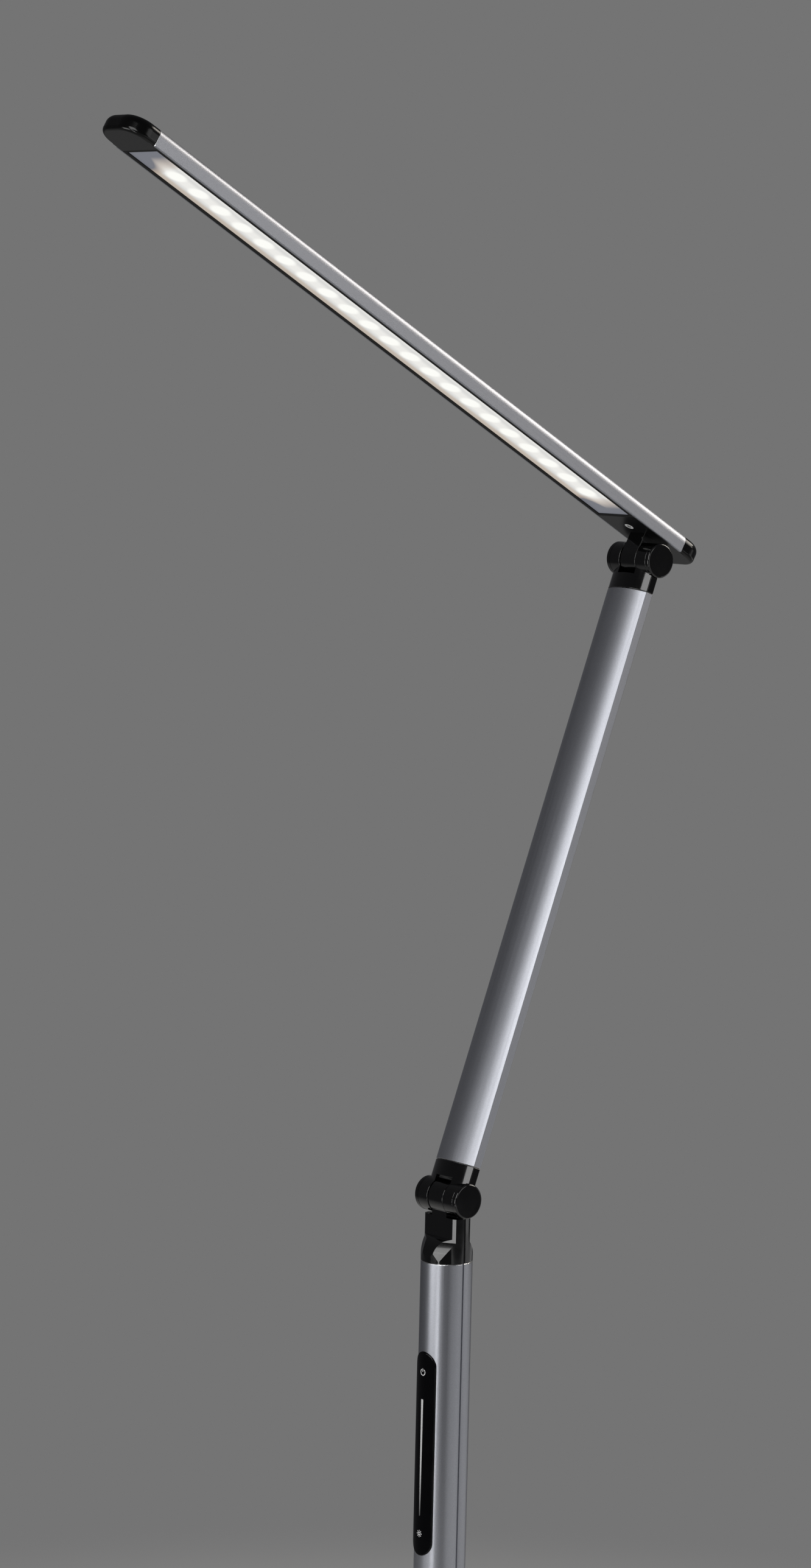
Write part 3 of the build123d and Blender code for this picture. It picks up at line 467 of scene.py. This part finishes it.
def end_light(opal, along, across):
    """How much light reaches a place on the strip: 1 along the row, 0 at the ends."""
    in_row = node(opal, "Clamp", {"Value": along, "Min": 0, "Max": row_length}).outputs[0]
    past_row = node(opal, "Math", {0: along, 1: in_row}, operation="SUBTRACT").outputs[0]
    end_distance = node(opal, "Math", {0: past_row}, operation="ABSOLUTE").outputs[0]
    slant = node(
        opal,
        "MapRange",
        {"Value": across, "From Min": SLANT_EDGE, "From Max": SLANT_INSIDE, "To Min": SLANT, "To Max": 1.0},
        interpolation_type="SMOOTHSTEP",
    ).outputs[0]
    past_end = node(opal, "Math", {0: end_distance, 1: slant}, operation="MULTIPLY").outputs[0]
    fall = node(
        opal,
        "MapRange",
        {"Value": past_end, "From Min": GLOW_START, "From Max": GLOW_END, "To Min": 1.0, "To Max": 0.0},
    ).outputs[0]
    return node(opal, "Math", {0: fall, 1: FADE_POWER}, operation="POWER").outputs[0]


print("the light ends", GLOW_END / MM, "mm past the last emitter")

# %% [markdown]
# Edge tones
#
# Across the strip the light is whitest in the middle. On either side of the spots it is a little greyer,
# and along the left edge, where it has come furthest through the filler, it turns warm.

# %% Edge tones
SHADE_PLACE = 7.6 * MM  # to either side of the strip's middle
SHADE_WIDTH = 4.5 * MM
WARM_EDGE = -10.5 * MM  # across the head, from its middle
WARM_INSIDE = -6.5 * MM


def edge_tones(opal, across):
    """The strip's colour between the spots."""
    off_middle = node(opal, "Math", {0: across}, operation="ABSOLUTE").outputs[0]
    from_shade = node(opal, "Math", {0: off_middle, 1: SHADE_PLACE}, operation="SUBTRACT").outputs[0]
    shade_distance = node(opal, "Math", {0: from_shade}, operation="ABSOLUTE").outputs[0]
    shade = node(
        opal,
        "MapRange",
        {"Value": shade_distance, "From Min": 0.0, "From Max": SHADE_WIDTH, "To Min": 1.0, "To Max": 0.0},
    ).outputs[0]
    warmth = node(
        opal,
        "MapRange",
        {"Value": across, "From Min": WARM_EDGE, "From Max": WARM_INSIDE, "To Min": 1.0, "To Max": 0.0},
        interpolation_type="SMOOTHSTEP",
    ).outputs[0]
    shaded = node(
        opal,
        "Mix",
        {"Factor": shade, "A": linear("e7e6e2"), "B": linear("d2d2d0")},
        data_type="RGBA",
    ).outputs[2]
    edged = node(
        opal,
        "Mix",
        {"Factor": warmth, "A": shaded, "B": linear("bcb1a5")},
        data_type="RGBA",
    )
    return edged.outputs[2]


print("the warm edge is", round((WARM_INSIDE - WARM_EDGE) / MM, 1), "mm wide")

# %% [markdown]
# The lit strip
#
# The three parts come together: spots over the edge tones, fading at the ends to a grey that is painted
# glow as well, in place of unlit acrylic, with a warm fringe where the light is half gone. The acrylic
# itself is dark here, because its light, and the grey of its unlit ends, is emission already. The glow is
# for the eye: the studio's soft boxes light the scene, so it isn't sampled as a light.

# %% Opal diffuser
ACRYLIC_IOR = 1.49


def opal_diffuser():
    """Filled acrylic, lit from behind by the row of emitters."""
    opal = new_material("opal_acrylic")
    place = node(opal, "TexCoord", {}).outputs["Object"]
    from_first = node(opal, "VectorMath", {0: place, 1: first_led}, operation="SUBTRACT").outputs[0]
    reach = node(opal, "VectorMath", {0: from_first, 1: head_along}, operation="DOT_PRODUCT")
    along = reach.outputs["Value"]
    across = node(opal, "SeparateXYZ", {"Vector": from_first}).outputs["X"]
    lit = end_light(opal, along, across)
    unlit = node(opal, "Math", {0: 1.0, 1: lit}, operation="SUBTRACT").outputs[0]
    fringe = node(opal, "Math", {0: lit, 1: unlit}, operation="MULTIPLY").outputs[0]
    spotted = node(
        opal,
        "Mix",
        {"Factor": light_spots(opal, along, across), "A": edge_tones(opal, across), "B": linear("f8f8f3")},
        data_type="RGBA",
    ).outputs[2]
    # the ends fade to a grey that is still emitted: a painted glow in place of unlit acrylic
    fading = node(
        opal,
        "Mix",
        {"Factor": lit, "A": linear("6a6c74"), "B": spotted},
        data_type="RGBA",
    ).outputs[2]
    glow = node(
        opal,
        "Mix",
        {"Factor": fringe, "A": fading, "B": linear("cfb294")},
        data_type="RGBA",
    ).outputs[2]
    shader = node(
        opal,
        "BsdfPrincipled",
        {
            "Base Color": linear("38383a"),
            "Roughness": 0.35,
            "IOR": ACRYLIC_IOR,
            "Emission Color": glow,
            "Emission Strength": 1.0,
        },
    )
    node(opal, "OutputMaterial", {"Surface": shader.outputs[0]})
    opal.cycles.emission_sampling = "NONE"
    return opal


opal = opal_diffuser()
print(opal.name, "has", len(opal.node_tree.nodes), "nodes")

# %% [markdown]
# Phosphor
#
# Each emitter is a light chip under a yellow gel that turns its blue light to white. A little noise keeps
# the gel from being one flat yellow. It glows for the eye too, and isn't sampled as a light.

# %% Phosphor gel
GEL_CLOUD = 0.6 * MM


def phosphor_gel():
    """Yellow gel over a light chip, glowing."""
    gel = new_material("phosphor_gel")
    place = node(gel, "TexCoord", {}).outputs["Object"]
    cloud = node(gel, "TexNoise", {"Vector": place, "Scale": 1 / GEL_CLOUD})
    tone = node(
        gel,
        "Mix",
        {"Factor": cloud.outputs[0], "A": linear("f2d774"), "B": linear("fff0b8")},
        data_type="RGBA",
    )
    shader = node(
        gel,
        "BsdfPrincipled",
        {
            "Base Color": tone.outputs[2],
            "Roughness": 0.4,
            "Emission Color": linear("fff6dc"),
            "Emission Strength": 1.0,
        },
    )
    node(gel, "OutputMaterial", {"Surface": shader.outputs[0]})
    gel.cycles.emission_sampling = "NONE"
    return gel


phosphor = phosphor_gel()
print("gel clouds", GEL_CLOUD / MM, "mm")

# %% [markdown]
# Give each piece its finish
#
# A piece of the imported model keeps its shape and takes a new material. The list goes by finish, because
# many pieces share one, and the last line shows whether a piece was forgotten.

# %% Assign the finishes
finishes = {
    post_metal: ["post_tube"],
    arm_metal: ["arm_tube"],
    head_metal: ["head_bar"],
    base_metal: ["base_cover"],
    black_abs: [
        "post_foot",
        "post_knuckle",
        "arm_lower_fork",
        "arm_upper_fork",
        "elbow_caps",
        "head_caps",
        "head_knuckle",
    ],
    cap_abs: ["tip_cap", "rear_cap"],
    lens_pmma: ["touch_lens"],
    etched_abs: ["rear_panel"],
    rail_abs: ["diffuser_rails"],
    inlet_nylon: ["power_inlet"],
    acetal: ["elbow_bush", "head_bush", "swivel_bush", "elbow_washers", "head_washers"],
    zinc_steel: [
        "elbow_bolt",
        "elbow_nut",
        "head_bolt",
        "head_nut",
        "swivel_spindle",
        "swivel_washer",
        "swivel_nut",
        "swivel_stop_pin",
        "base_screws",
        "post_grubs",
        "arm_grubs",
        "knuckle_screws",
        "knuckle_carrier",
    ],
    painted_glint_coat: ["panel_screw"],
    plate_paint: ["base_plate"],
    weight_iron: ["base_weight"],
    pad_rubber: ["base_pad"],
    green_board: ["power_board", "touch_board"],
    white_board: ["led_board"],
    phosphor: ["leds"],
    opal: ["diffuser"],
}
for material, names in finishes.items():
    for name in names:
        mesh = nodes[name].data
        mesh.materials.clear()
        mesh.materials.append(material)
finished = {name for names in finishes.values() for name in names}
print("pieces without a finish:", sorted(set(nodes) - finished))

# %% [markdown]
# Pieces with two finishes
#
# Some pieces are one part with two finishes, such as a moulding that is etched on one side only.
# Splitting them would change the model, so chosen faces take a second material instead. One function does
# it for all of them: it is given a test, which says of each face whether it is one of those.


# %% Second finishes
def second_finish(name, material, is_chosen):
    """Give the chosen faces of a piece a second material."""
    mesh = nodes[name].data
    mesh.materials.append(material)
    chosen = [face for face in mesh.polygons if is_chosen(face)]
    for face in chosen:
        face.material_index = 1
    print(name, "has", len(chosen), "faces of", material.name)


# %% [markdown]
# Etched undersides and cut rims
#
# An end cap is polished around its sides and etched below, where it lies beside the diffuser. A tube has
# bright rims where it was cut. Both are told by where a face looks: the etched ones straight down from
# the head, the rims' small bevels partly along the tube.

# %% Etched undersides and cut rims
STRAIGHT_DOWN = -0.98  # as the cosine of the angle from the head's upward direction
RIM_TILT = (0.2, 0.98)  # as the cosine of the angle from the tube's direction


def looks_down(face):
    """Whether a face of the head looks straight down from it."""
    return face.normal.dot(head_up) < STRAIGHT_DOWN


for name in ("tip_cap", "rear_cap"):
    second_finish(name, etched_abs, looks_down)

for name, along in (("post_tube", post_along), ("arm_tube", arm_along), ("head_bar", head_along)):
    second_finish(name, cut_metal, lambda face: RIM_TILT[0] < abs(face.normal.dot(along)) < RIM_TILT[1])

# %% [markdown]
# Contact pin and screw cross
#
# The inlet holds a plated contact pin, and the cross in the panel's screw is bare steel inside the pale
# colour painted on the head as its glint. Their faces look in all directions, so they are told by where
# they lie: near the inlet's axis, or a little way into the screw.

# %% Contact pin and screw cross
PIN_RADIUS = 1.2 * MM
CROSS_DEPTHS = (0.1 * MM, 1.0 * MM)
CONE_TILT = 0.5  # as a cosine, and less than that of the cone behind the screw's face

inlet_low, inlet_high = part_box("power_inlet")
pin_height = (inlet_low.z + inlet_high.z) / 2
screw_face = min(vertex.co.dot(head_up) for vertex in nodes["panel_screw"].data.vertices)


def on_pin(face):
    """Whether a face of the inlet belongs to its contact pin."""
    return Vector((face.center.x, face.center.z - pin_height)).length < PIN_RADIUS


def in_cross(face):
    """Whether a face of the panel's screw lies inside its cross."""
    depth = face.center.dot(head_up) - screw_face
    return CROSS_DEPTHS[0] < depth < CROSS_DEPTHS[1] and face.normal.dot(head_up) < CONE_TILT


second_finish("power_inlet", zinc_steel, on_pin)
second_finish("panel_screw", zinc_steel, in_cross)

# %% [markdown]
# The marks on the touch strip
#
# The strip is printed in white: a power sign at the top, a wedge to slide a finger along, and a sun for
# the light's colour at the bottom. They could be painted by the strip's material, but printed ink is a
# layer with an edge of its own, so each mark is a thin closed mesh wrapped around the strip. Every mark
# is made of bands: a band runs between two rows of points, which are laid out flat, in millimetres, and
# then rolled onto the strip's cylinder.

# %% Bands of ink
lens_low, lens_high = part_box("touch_lens")
LENS_RADIUS = -lens_low.y
INK = 0.04 * MM  # above the strip
INK_SINK = 0.02 * MM  # below its surface, so that no gap shows


def rolled(point, radius):
    """A flat point (across, height) rolled onto the strip at a radius."""
    turn = point[0] * MM / LENS_RADIUS
    return Vector((radius * sin(turn), -radius * cos(turn), point[1] * MM))


def ink_band(bm, left, right, closed=False):
    """A thin closed band of ink between two rows of flat points."""
    rings = []
    for a, b in zip(left, right):
        corners = [rolled(a, LENS_RADIUS + INK), rolled(b, LENS_RADIUS + INK)]
        corners += [rolled(b, LENS_RADIUS - INK_SINK), rolled(a, LENS_RADIUS - INK_SINK)]
        rings.append([bm.verts.new(corner) for corner in corners])
    pairs = list(zip(rings, rings[1:]))
    if closed:
        pairs.append((rings[-1], rings[0]))
    else:
        bm.faces.new(rings[0])
        bm.faces.new(rings[-1][::-1])
    for start, end in pairs:
        for i in range(4):
            j = (i + 1) % 4
            bm.faces.new((start[i], start[j], end[j], end[i]))


print("the strip is", round((lens_high.z - lens_low.z) / MM, 1), "mm tall")

# %% [markdown]
# Arcs, rings and pieces
#
# The power sign and the sun are round, so a band also has to follow an arc or close to a ring. A mark
# that is done becomes a piece of the scene, and rides on the post as the strip does.

# %% Arcs, rings and pieces
ARC_STEP = radians(10)


def arc(centre, radius, start, end):
    """Flat points along an arc, from one angle to another."""
    count = max(2, round(abs(end - start) / ARC_STEP)) + 1
    angles = [start + (end - start) * i / (count - 1) for i in range(count)]
    return [(centre[0] + radius * cos(angle), centre[1] + radius * sin(angle)) for angle in angles]


def ink_ring(bm, centre, outer, inner):
    """A closed ring of ink."""
    last = 2 * pi - ARC_STEP
    ink_band(bm, arc(centre, outer, 0, last), arc(centre, inner, 0, last), closed=True)


def ink_piece(name, bm, material):
    """Turn a filled bmesh into a piece that rides on the post."""
    bmesh.ops.recalc_face_normals(bm, faces=bm.faces)
    mesh = bpy.data.meshes.new(name)
    bm.to_mesh(mesh)
    bm.free()
    mesh.materials.append(material)
    piece = bpy.data.objects.new(name, mesh)
    bpy.context.scene.collection.objects.link(piece)
    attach(piece, "post")
    print(name, "has", len(mesh.polygons), "faces")


print("a full ring has", round(2 * pi / ARC_STEP), "steps")

# %% [markdown]
# White ink
#
# The ink is a matte white, a little uneven where it was pressed through the screen. The screen's mesh is
# about 0.1 mm, so its marks are drawn at 0.4 mm to show. The wedge is printed as a halftone that thins
# out over its lower part, where the strip's black shows through. The dots of a halftone are far too fine
# to show, so they become a mix of the two colours.

# %% White ink
SCREEN_MESH = 0.4 * MM
WEDGE_TOP = 283.7
WEDGE_BOTTOM = 215.5
THIN_FROM = 242  # millimetres above the desk, as the wedge's ends
THIN_TO = 213.5


def white_ink(name, thin, full):
    """Screen-printed ink: two shares of white, for below and for above the part that thins out."""
    ink = new_material(name)
    place = node(ink, "TexCoord", {}).outputs["Object"]
    mesh_marks = node(ink, "TexNoise", {"Vector": place, "Scale": 1 / SCREEN_MESH})
    white = node(
        ink,
        "Mix",
        {"Factor": mesh_marks.outputs[0], "A": linear("c9c9c9"), "B": linear("ececec")},
        data_type="RGBA",
    )
    height = node(ink, "SeparateXYZ", {"Vector": place}).outputs["Z"]
    halftone = node(
        ink,
        "MapRange",
        {
            "Value": height,
            "From Min": THIN_TO * MM,
            "From Max": THIN_FROM * MM,
            "To Min": thin,
            "To Max": full,
        },
    )
    printed = node(
        ink,
        "Mix",
        {"Factor": halftone.outputs[0], "A": linear("030304"), "B": white.outputs[2]},
        data_type="RGBA",
    )
    shader = node(ink, "BsdfPrincipled", {"Base Color": printed.outputs[2], "Roughness": 0.6})
    node(ink, "OutputMaterial", {"Surface": shader.outputs[0]})
    return ink


wedge_ink = white_ink("white_ink_wedge", thin=0.03, full=0.85)
sign_ink = white_ink("white_ink_signs", thin=0.9, full=0.9)
print("the wedge thins out over its lower", round(THIN_FROM - WEDGE_BOTTOM, 1), "mm")

# %% [markdown]
# Power sign
#
# The sign is a ring that is open at the top, with a stroke in the gap. Sizes and places are in
# millimetres.

# %% Power sign
POWER_PLACE = (0, 299.6)
POWER_RADIUS = 2.1
POWER_GAP = radians(35)  # to either side of the top
STROKE = 0.55
STROKE_START = 0.2  # above the ring's middle

power = bmesh.new()
opening = (pi / 2 + POWER_GAP, 5 * pi / 2 - POWER_GAP)
ink_band(power, arc(POWER_PLACE, POWER_RADIUS, *opening), arc(POWER_PLACE, POWER_RADIUS - STROKE, *opening))
stroke_ends = [POWER_PLACE[1] + STROKE_START, POWER_PLACE[1] + POWER_RADIUS]
ink_band(power, [(-STROKE / 2, z) for z in stroke_ends], [(STROKE / 2, z) for z in stroke_ends])
ink_piece("power_sign", power, sign_ink)

# %% [markdown]
# Wedge
#
# The line narrows downwards, to say that a finger slid that way dims the lamp. It is two bands that meet
# in the middle, so that both sides follow the strip's curve.

# %% Wedge
WEDGE_WIDTHS = (1.7, 0.9)  # at the top and at the bottom
WEDGE_STEPS = 4

rows = []
for step in range(WEDGE_STEPS + 1):
    share = step / WEDGE_STEPS
    row_height = WEDGE_TOP + (WEDGE_BOTTOM - WEDGE_TOP) * share
    row_width = WEDGE_WIDTHS[0] + (WEDGE_WIDTHS[1] - WEDGE_WIDTHS[0]) * share
    rows.append((row_height, row_width))

wedge = bmesh.new()
for side in (-1, 1):
    inner = [(0, z) for z, width in rows]
    outer = [(side * width / 2, z) for z, width in rows]
    ink_band(wedge, inner, outer)
ink_piece("dimmer_wedge", wedge, wedge_ink)

# %% [markdown]
# Sun
#
# The sun is a small ring with eight short rays around it. A ray is a straight band, so it needs only the
# two ends of each of its sides.

# %% Sun
SUN_PLACE = (0, 205.0)
SUN_RADIUS = 1.15
RAY_COUNT = 8
RAY_REACH = (1.5, 2.1)  # from the sun's middle

sun = bmesh.new()
ink_ring(sun, SUN_PLACE, SUN_RADIUS, SUN_RADIUS - STROKE)
for i in range(RAY_COUNT):
    angle = 2 * pi * i / RAY_COUNT
    out = Vector((cos(angle), sin(angle)))
    side = Vector((-sin(angle), cos(angle))) * STROKE / 2
    ends = [Vector(SUN_PLACE) + out * reach for reach in RAY_REACH]
    ink_band(sun, [point - side for point in ends], [point + side for point in ends])
ink_piece("sun_sign", sun, sign_ink)

# %% [markdown]
# Backdrop
#
# The backdrop is plain grey paper. The camera sees it everywhere, but the lamp stands in a dim room, and
# mirrors the paper only in a round patch straight behind it and low down, where the paper runs forward.
# That keeps the black plastic black. A modelled wall would be lit unevenly by the soft boxes, so the
# world itself is the paper.

# %% Where the paper is
BACKDROP_BEARING = radians(230)
BACKDROP_EDGE = (0.94, 0.98)  # as the cosine of the angle from the middle of the patch
FAR_FLOOR_EDGE = (-0.3, -0.5)  # as the height of a line of sight one metre long

world = bpy.data.worlds.new("studio")
bpy.context.scene.world = world
world.use_nodes = True
world.node_tree.nodes.clear()
direction = node(world, "TexCoord", {}).outputs["Generated"]
towards = (sin(BACKDROP_BEARING), -cos(BACKDROP_BEARING), 0)
facing = node(world, "VectorMath", {0: direction, 1: towards}, operation="DOT_PRODUCT").outputs["Value"]
behind = node(
    world,
    "MapRange",
    {"Value": facing, "From Min": BACKDROP_EDGE[0], "From Max": BACKDROP_EDGE[1]},
    interpolation_type="SMOOTHSTEP",
).outputs[0]
height = node(world, "SeparateXYZ", {"Vector": direction}).outputs["Z"]
below = node(
    world,
    "MapRange",
    {"Value": height, "From Min": FAR_FLOOR_EDGE[0], "From Max": FAR_FLOOR_EDGE[1]},
    interpolation_type="SMOOTHSTEP",
).outputs[0]
on_paper = node(world, "Math", {0: behind, 1: below}, operation="MAXIMUM").outputs[0]
print("the paper's patch is towards", [round(x, 2) for x in towards])

# %% [markdown]
# Paper and room
#
# The world has two kinds of light. What the camera and the mirroring surfaces see is the paper or the dim
# room. What falls on matte surfaces is an even white, which stands for light thrown back by the room's
# walls.

# %% Paper and room
PAPER_GREY = linear("747474")
DIM_ROOM = linear("404042")
ROOM_LIGHT = 0.3

rays = node(world, "LightPath", {}).outputs
seen_paper = node(world, "Math", {0: on_paper, 1: rays["Is Camera Ray"]}, operation="MAXIMUM").outputs[0]
seen = node(
    world,
    "Mix",
    {"Factor": seen_paper, "A": DIM_ROOM, "B": PAPER_GREY},
    data_type="RGBA",
).outputs[2]
mirrored = node(
    world,
    "Math",
    {0: rays["Is Glossy Ray"], 1: rays["Is Transmission Ray"]},
    operation="MAXIMUM",
).outputs[0]
shown = node(world, "Math", {0: mirrored, 1: rays["Is Camera Ray"]}, operation="MAXIMUM").outputs[0]
room = node(world, "Background", {"Color": linear("ffffff"), "Strength": ROOM_LIGHT})
surround = node(world, "Background", {"Color": seen, "Strength": 1.0})
sky = node(world, "MixShader", {0: shown, 1: room.outputs[0], 2: surround.outputs[0]})
node(world, "OutputWorld", {"Surface": sky.outputs[0]})
print("the world has", len(world.node_tree.nodes), "nodes")

# %% [markdown]
# Floor
#
# The lamp stands on pale paper, with the faint fibres that uncoated paper has. Those are finer than a
# millimetre, so they are drawn at 4 mm to show. A floor with an edge would cut the picture in two, so the
# paper turns clear away from the lamp and fades into the backdrop.

# %% Floor paper
FIBRE = 4 * MM
FLOOR_FADE = (0.3, 0.8)  # metres from the post

paper = new_material("pale_paper_floor")
place = node(paper, "TexCoord", {}).outputs["Object"]
from_middle = node(paper, "VectorMath", {0: place}, operation="LENGTH").outputs["Value"]
fade = node(
    paper,
    "MapRange",
    {"Value": from_middle, "From Min": FLOOR_FADE[0], "From Max": FLOOR_FADE[1]},
    interpolation_type="SMOOTHSTEP",
)
fibre = node(paper, "TexNoise", {"Vector": place, "Scale": 1 / FIBRE, "Detail": 3.0})
tone = node(
    paper,
    "Mix",
    {"Factor": fibre.outputs[0], "A": linear("c9c9c8"), "B": linear("d3d3d2")},
    data_type="RGBA",
)
matte = node(paper, "BsdfPrincipled", {"Base Color": tone.outputs[2], "Roughness": 0.9})
clear = node(paper, "BsdfTransparent", {})
surface = node(paper, "MixShader", {0: fade.outputs[0], 1: matte.outputs[0], 2: clear.outputs[0]})
node(paper, "OutputMaterial", {"Surface": surface.outputs[0]})
print("the paper fades from", FLOOR_FADE[0], "m to", FLOOR_FADE[1], "m")

# %% [markdown]
# Floor disc
#
# The paper itself is a flat disc, a little wider than its fade. It belongs to the studio and not to the
# lamp, so it is linked to the scene and not to any of the lamp's bodies.

# %% Floor disc
FLOOR_RADIUS = 0.9
FLOOR_SIDES = 96

disc = bmesh.new()
bmesh.ops.create_circle(disc, cap_ends=True, segments=FLOOR_SIDES, radius=FLOOR_RADIUS)
floor_mesh = bpy.data.meshes.new("floor")
disc.to_mesh(floor_mesh)
disc.free()
floor_mesh.materials.append(paper)
floor = bpy.data.objects.new("floor", floor_mesh)
bpy.context.scene.collection.objects.link(floor)
print("floor of", FLOOR_RADIUS, "m radius")

# %% [markdown]
# Soft boxes
#
# Satin metal and gloss plastic show little but reflections, so each light is placed for what it draws on
# the lamp. A soft box is an upright area light that faces the post. It is set by how bright its face
# looks, its radiance, because that is what the metal mirrors: the light's power follows from that and
# from its size.


# %% A soft box
def soft_box(name, bearing, distance, bottom, top, width, radiance, colour="ffffff"):
    """An upright light that faces the post. Bearing 0 is in front of the lamp, and 90 on its right."""
    away = Vector((sin(radians(bearing)), -cos(radians(bearing)), 0))
    light = bpy.data.lights.new(name, "AREA")
    light.shape = "RECTANGLE"
    light.size = width
    light.size_y = top - bottom
    light.energy = radiance * pi * width * (top - bottom)
    light.color = linear(colour)[:3]
    box = bpy.data.objects.new(name, light)
    box.location = away * distance + Vector((0, 0, (bottom + top) / 2))
    box.rotation_euler = away.to_track_quat("Z", "Y").to_euler()
    box.visible_camera = False
    bpy.context.scene.collection.objects.link(box)
    print(name, "at", [round(x, 2) for x in box.location])


# %% [markdown]
# Front lights
#
# A high and a low box in front draw the bright bands down the arm and the post, and the patches on the
# black collars. Two narrow ones, one above the other, put a bright line on the post beside the touch
# strip. They stand just outside what the strip itself mirrors, so it stays black.

# %% Front lights
soft_box("high_front_box", bearing=28, distance=2.0, bottom=0.95, top=2.5, width=1.2, radiance=3.0)
soft_box("low_front_box", bearing=-11, distance=2.0, bottom=0.02, top=0.75, width=0.95, radiance=2.9)
soft_box("streak_box", bearing=14.8, distance=2.0, bottom=-0.22, top=0.95, width=0.18, radiance=3.2)
soft_box("low_streak_box", bearing=15.5, distance=2.0, bottom=-0.6, top=-0.22, width=0.18, radiance=8.0)

# %% [markdown]
# Side lights
#
# The post is seen from above, so its right side mirrors what is low. Two wide, weak boxes below the
# desk's level lift that side, and are too low for the round ends of the hinges to mirror. Two pale cards
# lift the flat sides of the arm and the head. The gap between them is what the round ends mirror, and so
# they stay black.

# %% Side lights
soft_box("low_right_box", bearing=100, distance=2.0, bottom=-0.6, top=-0.06, width=2.2, radiance=0.45)
soft_box("low_back_box", bearing=167, distance=2.2, bottom=-0.6, top=-0.06, width=2.2, radiance=0.36)
soft_box("right_card", bearing=112, distance=2.2, bottom=0.25, top=1.7, width=0.85, radiance=0.95)
soft_box("rear_card", bearing=149, distance=2.2, bottom=-0.05, top=0.5, width=0.85, radiance=0.55)

# %% [markdown]
# Back lights
#
# A large box behind and above runs a white line along the head's upper edge. A smaller one beside it
# widens the line towards the rear. Both are a little warm, as the line is on the lamp.

# %% Back lights
WARM_WHITE = "fff8ee"

soft_box("band_card", 150, 2.2, bottom=0.9, top=1.45, width=0.4, radiance=3.0, colour=WARM_WHITE)
soft_box("back_box", 166, 2.4, bottom=1.38, top=2.7, width=1.2, radiance=5.0, colour=WARM_WHITE)

# %% [markdown]
# The camera
#
# The camera stands to the right of the lamp, level with its head, and looks slightly down. The lens is
# given as its focal length over the picture's height, so the view doesn't depend on the size of a render.

# %% Camera
CAMERA_BEARING = radians(50.0)
CAMERA_DISTANCE = 2.5508  # over the floor, from the post
CAMERA_HEIGHT = 0.88014
LOOK_BEARING = radians(50.67)
LOOK_DOWN = radians(5.434)
ROLL = radians(1.298)
FOCAL_RATIO = 2.87053  # focal length over picture height
SENSOR_HEIGHT = 24.0

lens = bpy.data.cameras.new("camera")
lens.sensor_fit = "VERTICAL"
lens.sensor_height = SENSOR_HEIGHT
lens.lens = FOCAL_RATIO * SENSOR_HEIGHT
camera = bpy.data.objects.new("camera", lens)
stand = Vector((sin(CAMERA_BEARING), -cos(CAMERA_BEARING), 0)) * CAMERA_DISTANCE
stand.z = CAMERA_HEIGHT
turn = Matrix.Rotation(LOOK_BEARING, 4, "Z") @ Matrix.Rotation(pi / 2 - LOOK_DOWN, 4, "X")
camera.matrix_world = Matrix.Translation(stand) @ turn @ Matrix.Rotation(ROLL, 4, "Z")
bpy.context.scene.collection.objects.link(camera)
bpy.context.scene.camera = camera
bpy.context.scene.view_settings.view_transform = "Standard"
print("camera at", [round(x, 3) for x in stand], "with a", round(lens.lens, 1), "mm lens")
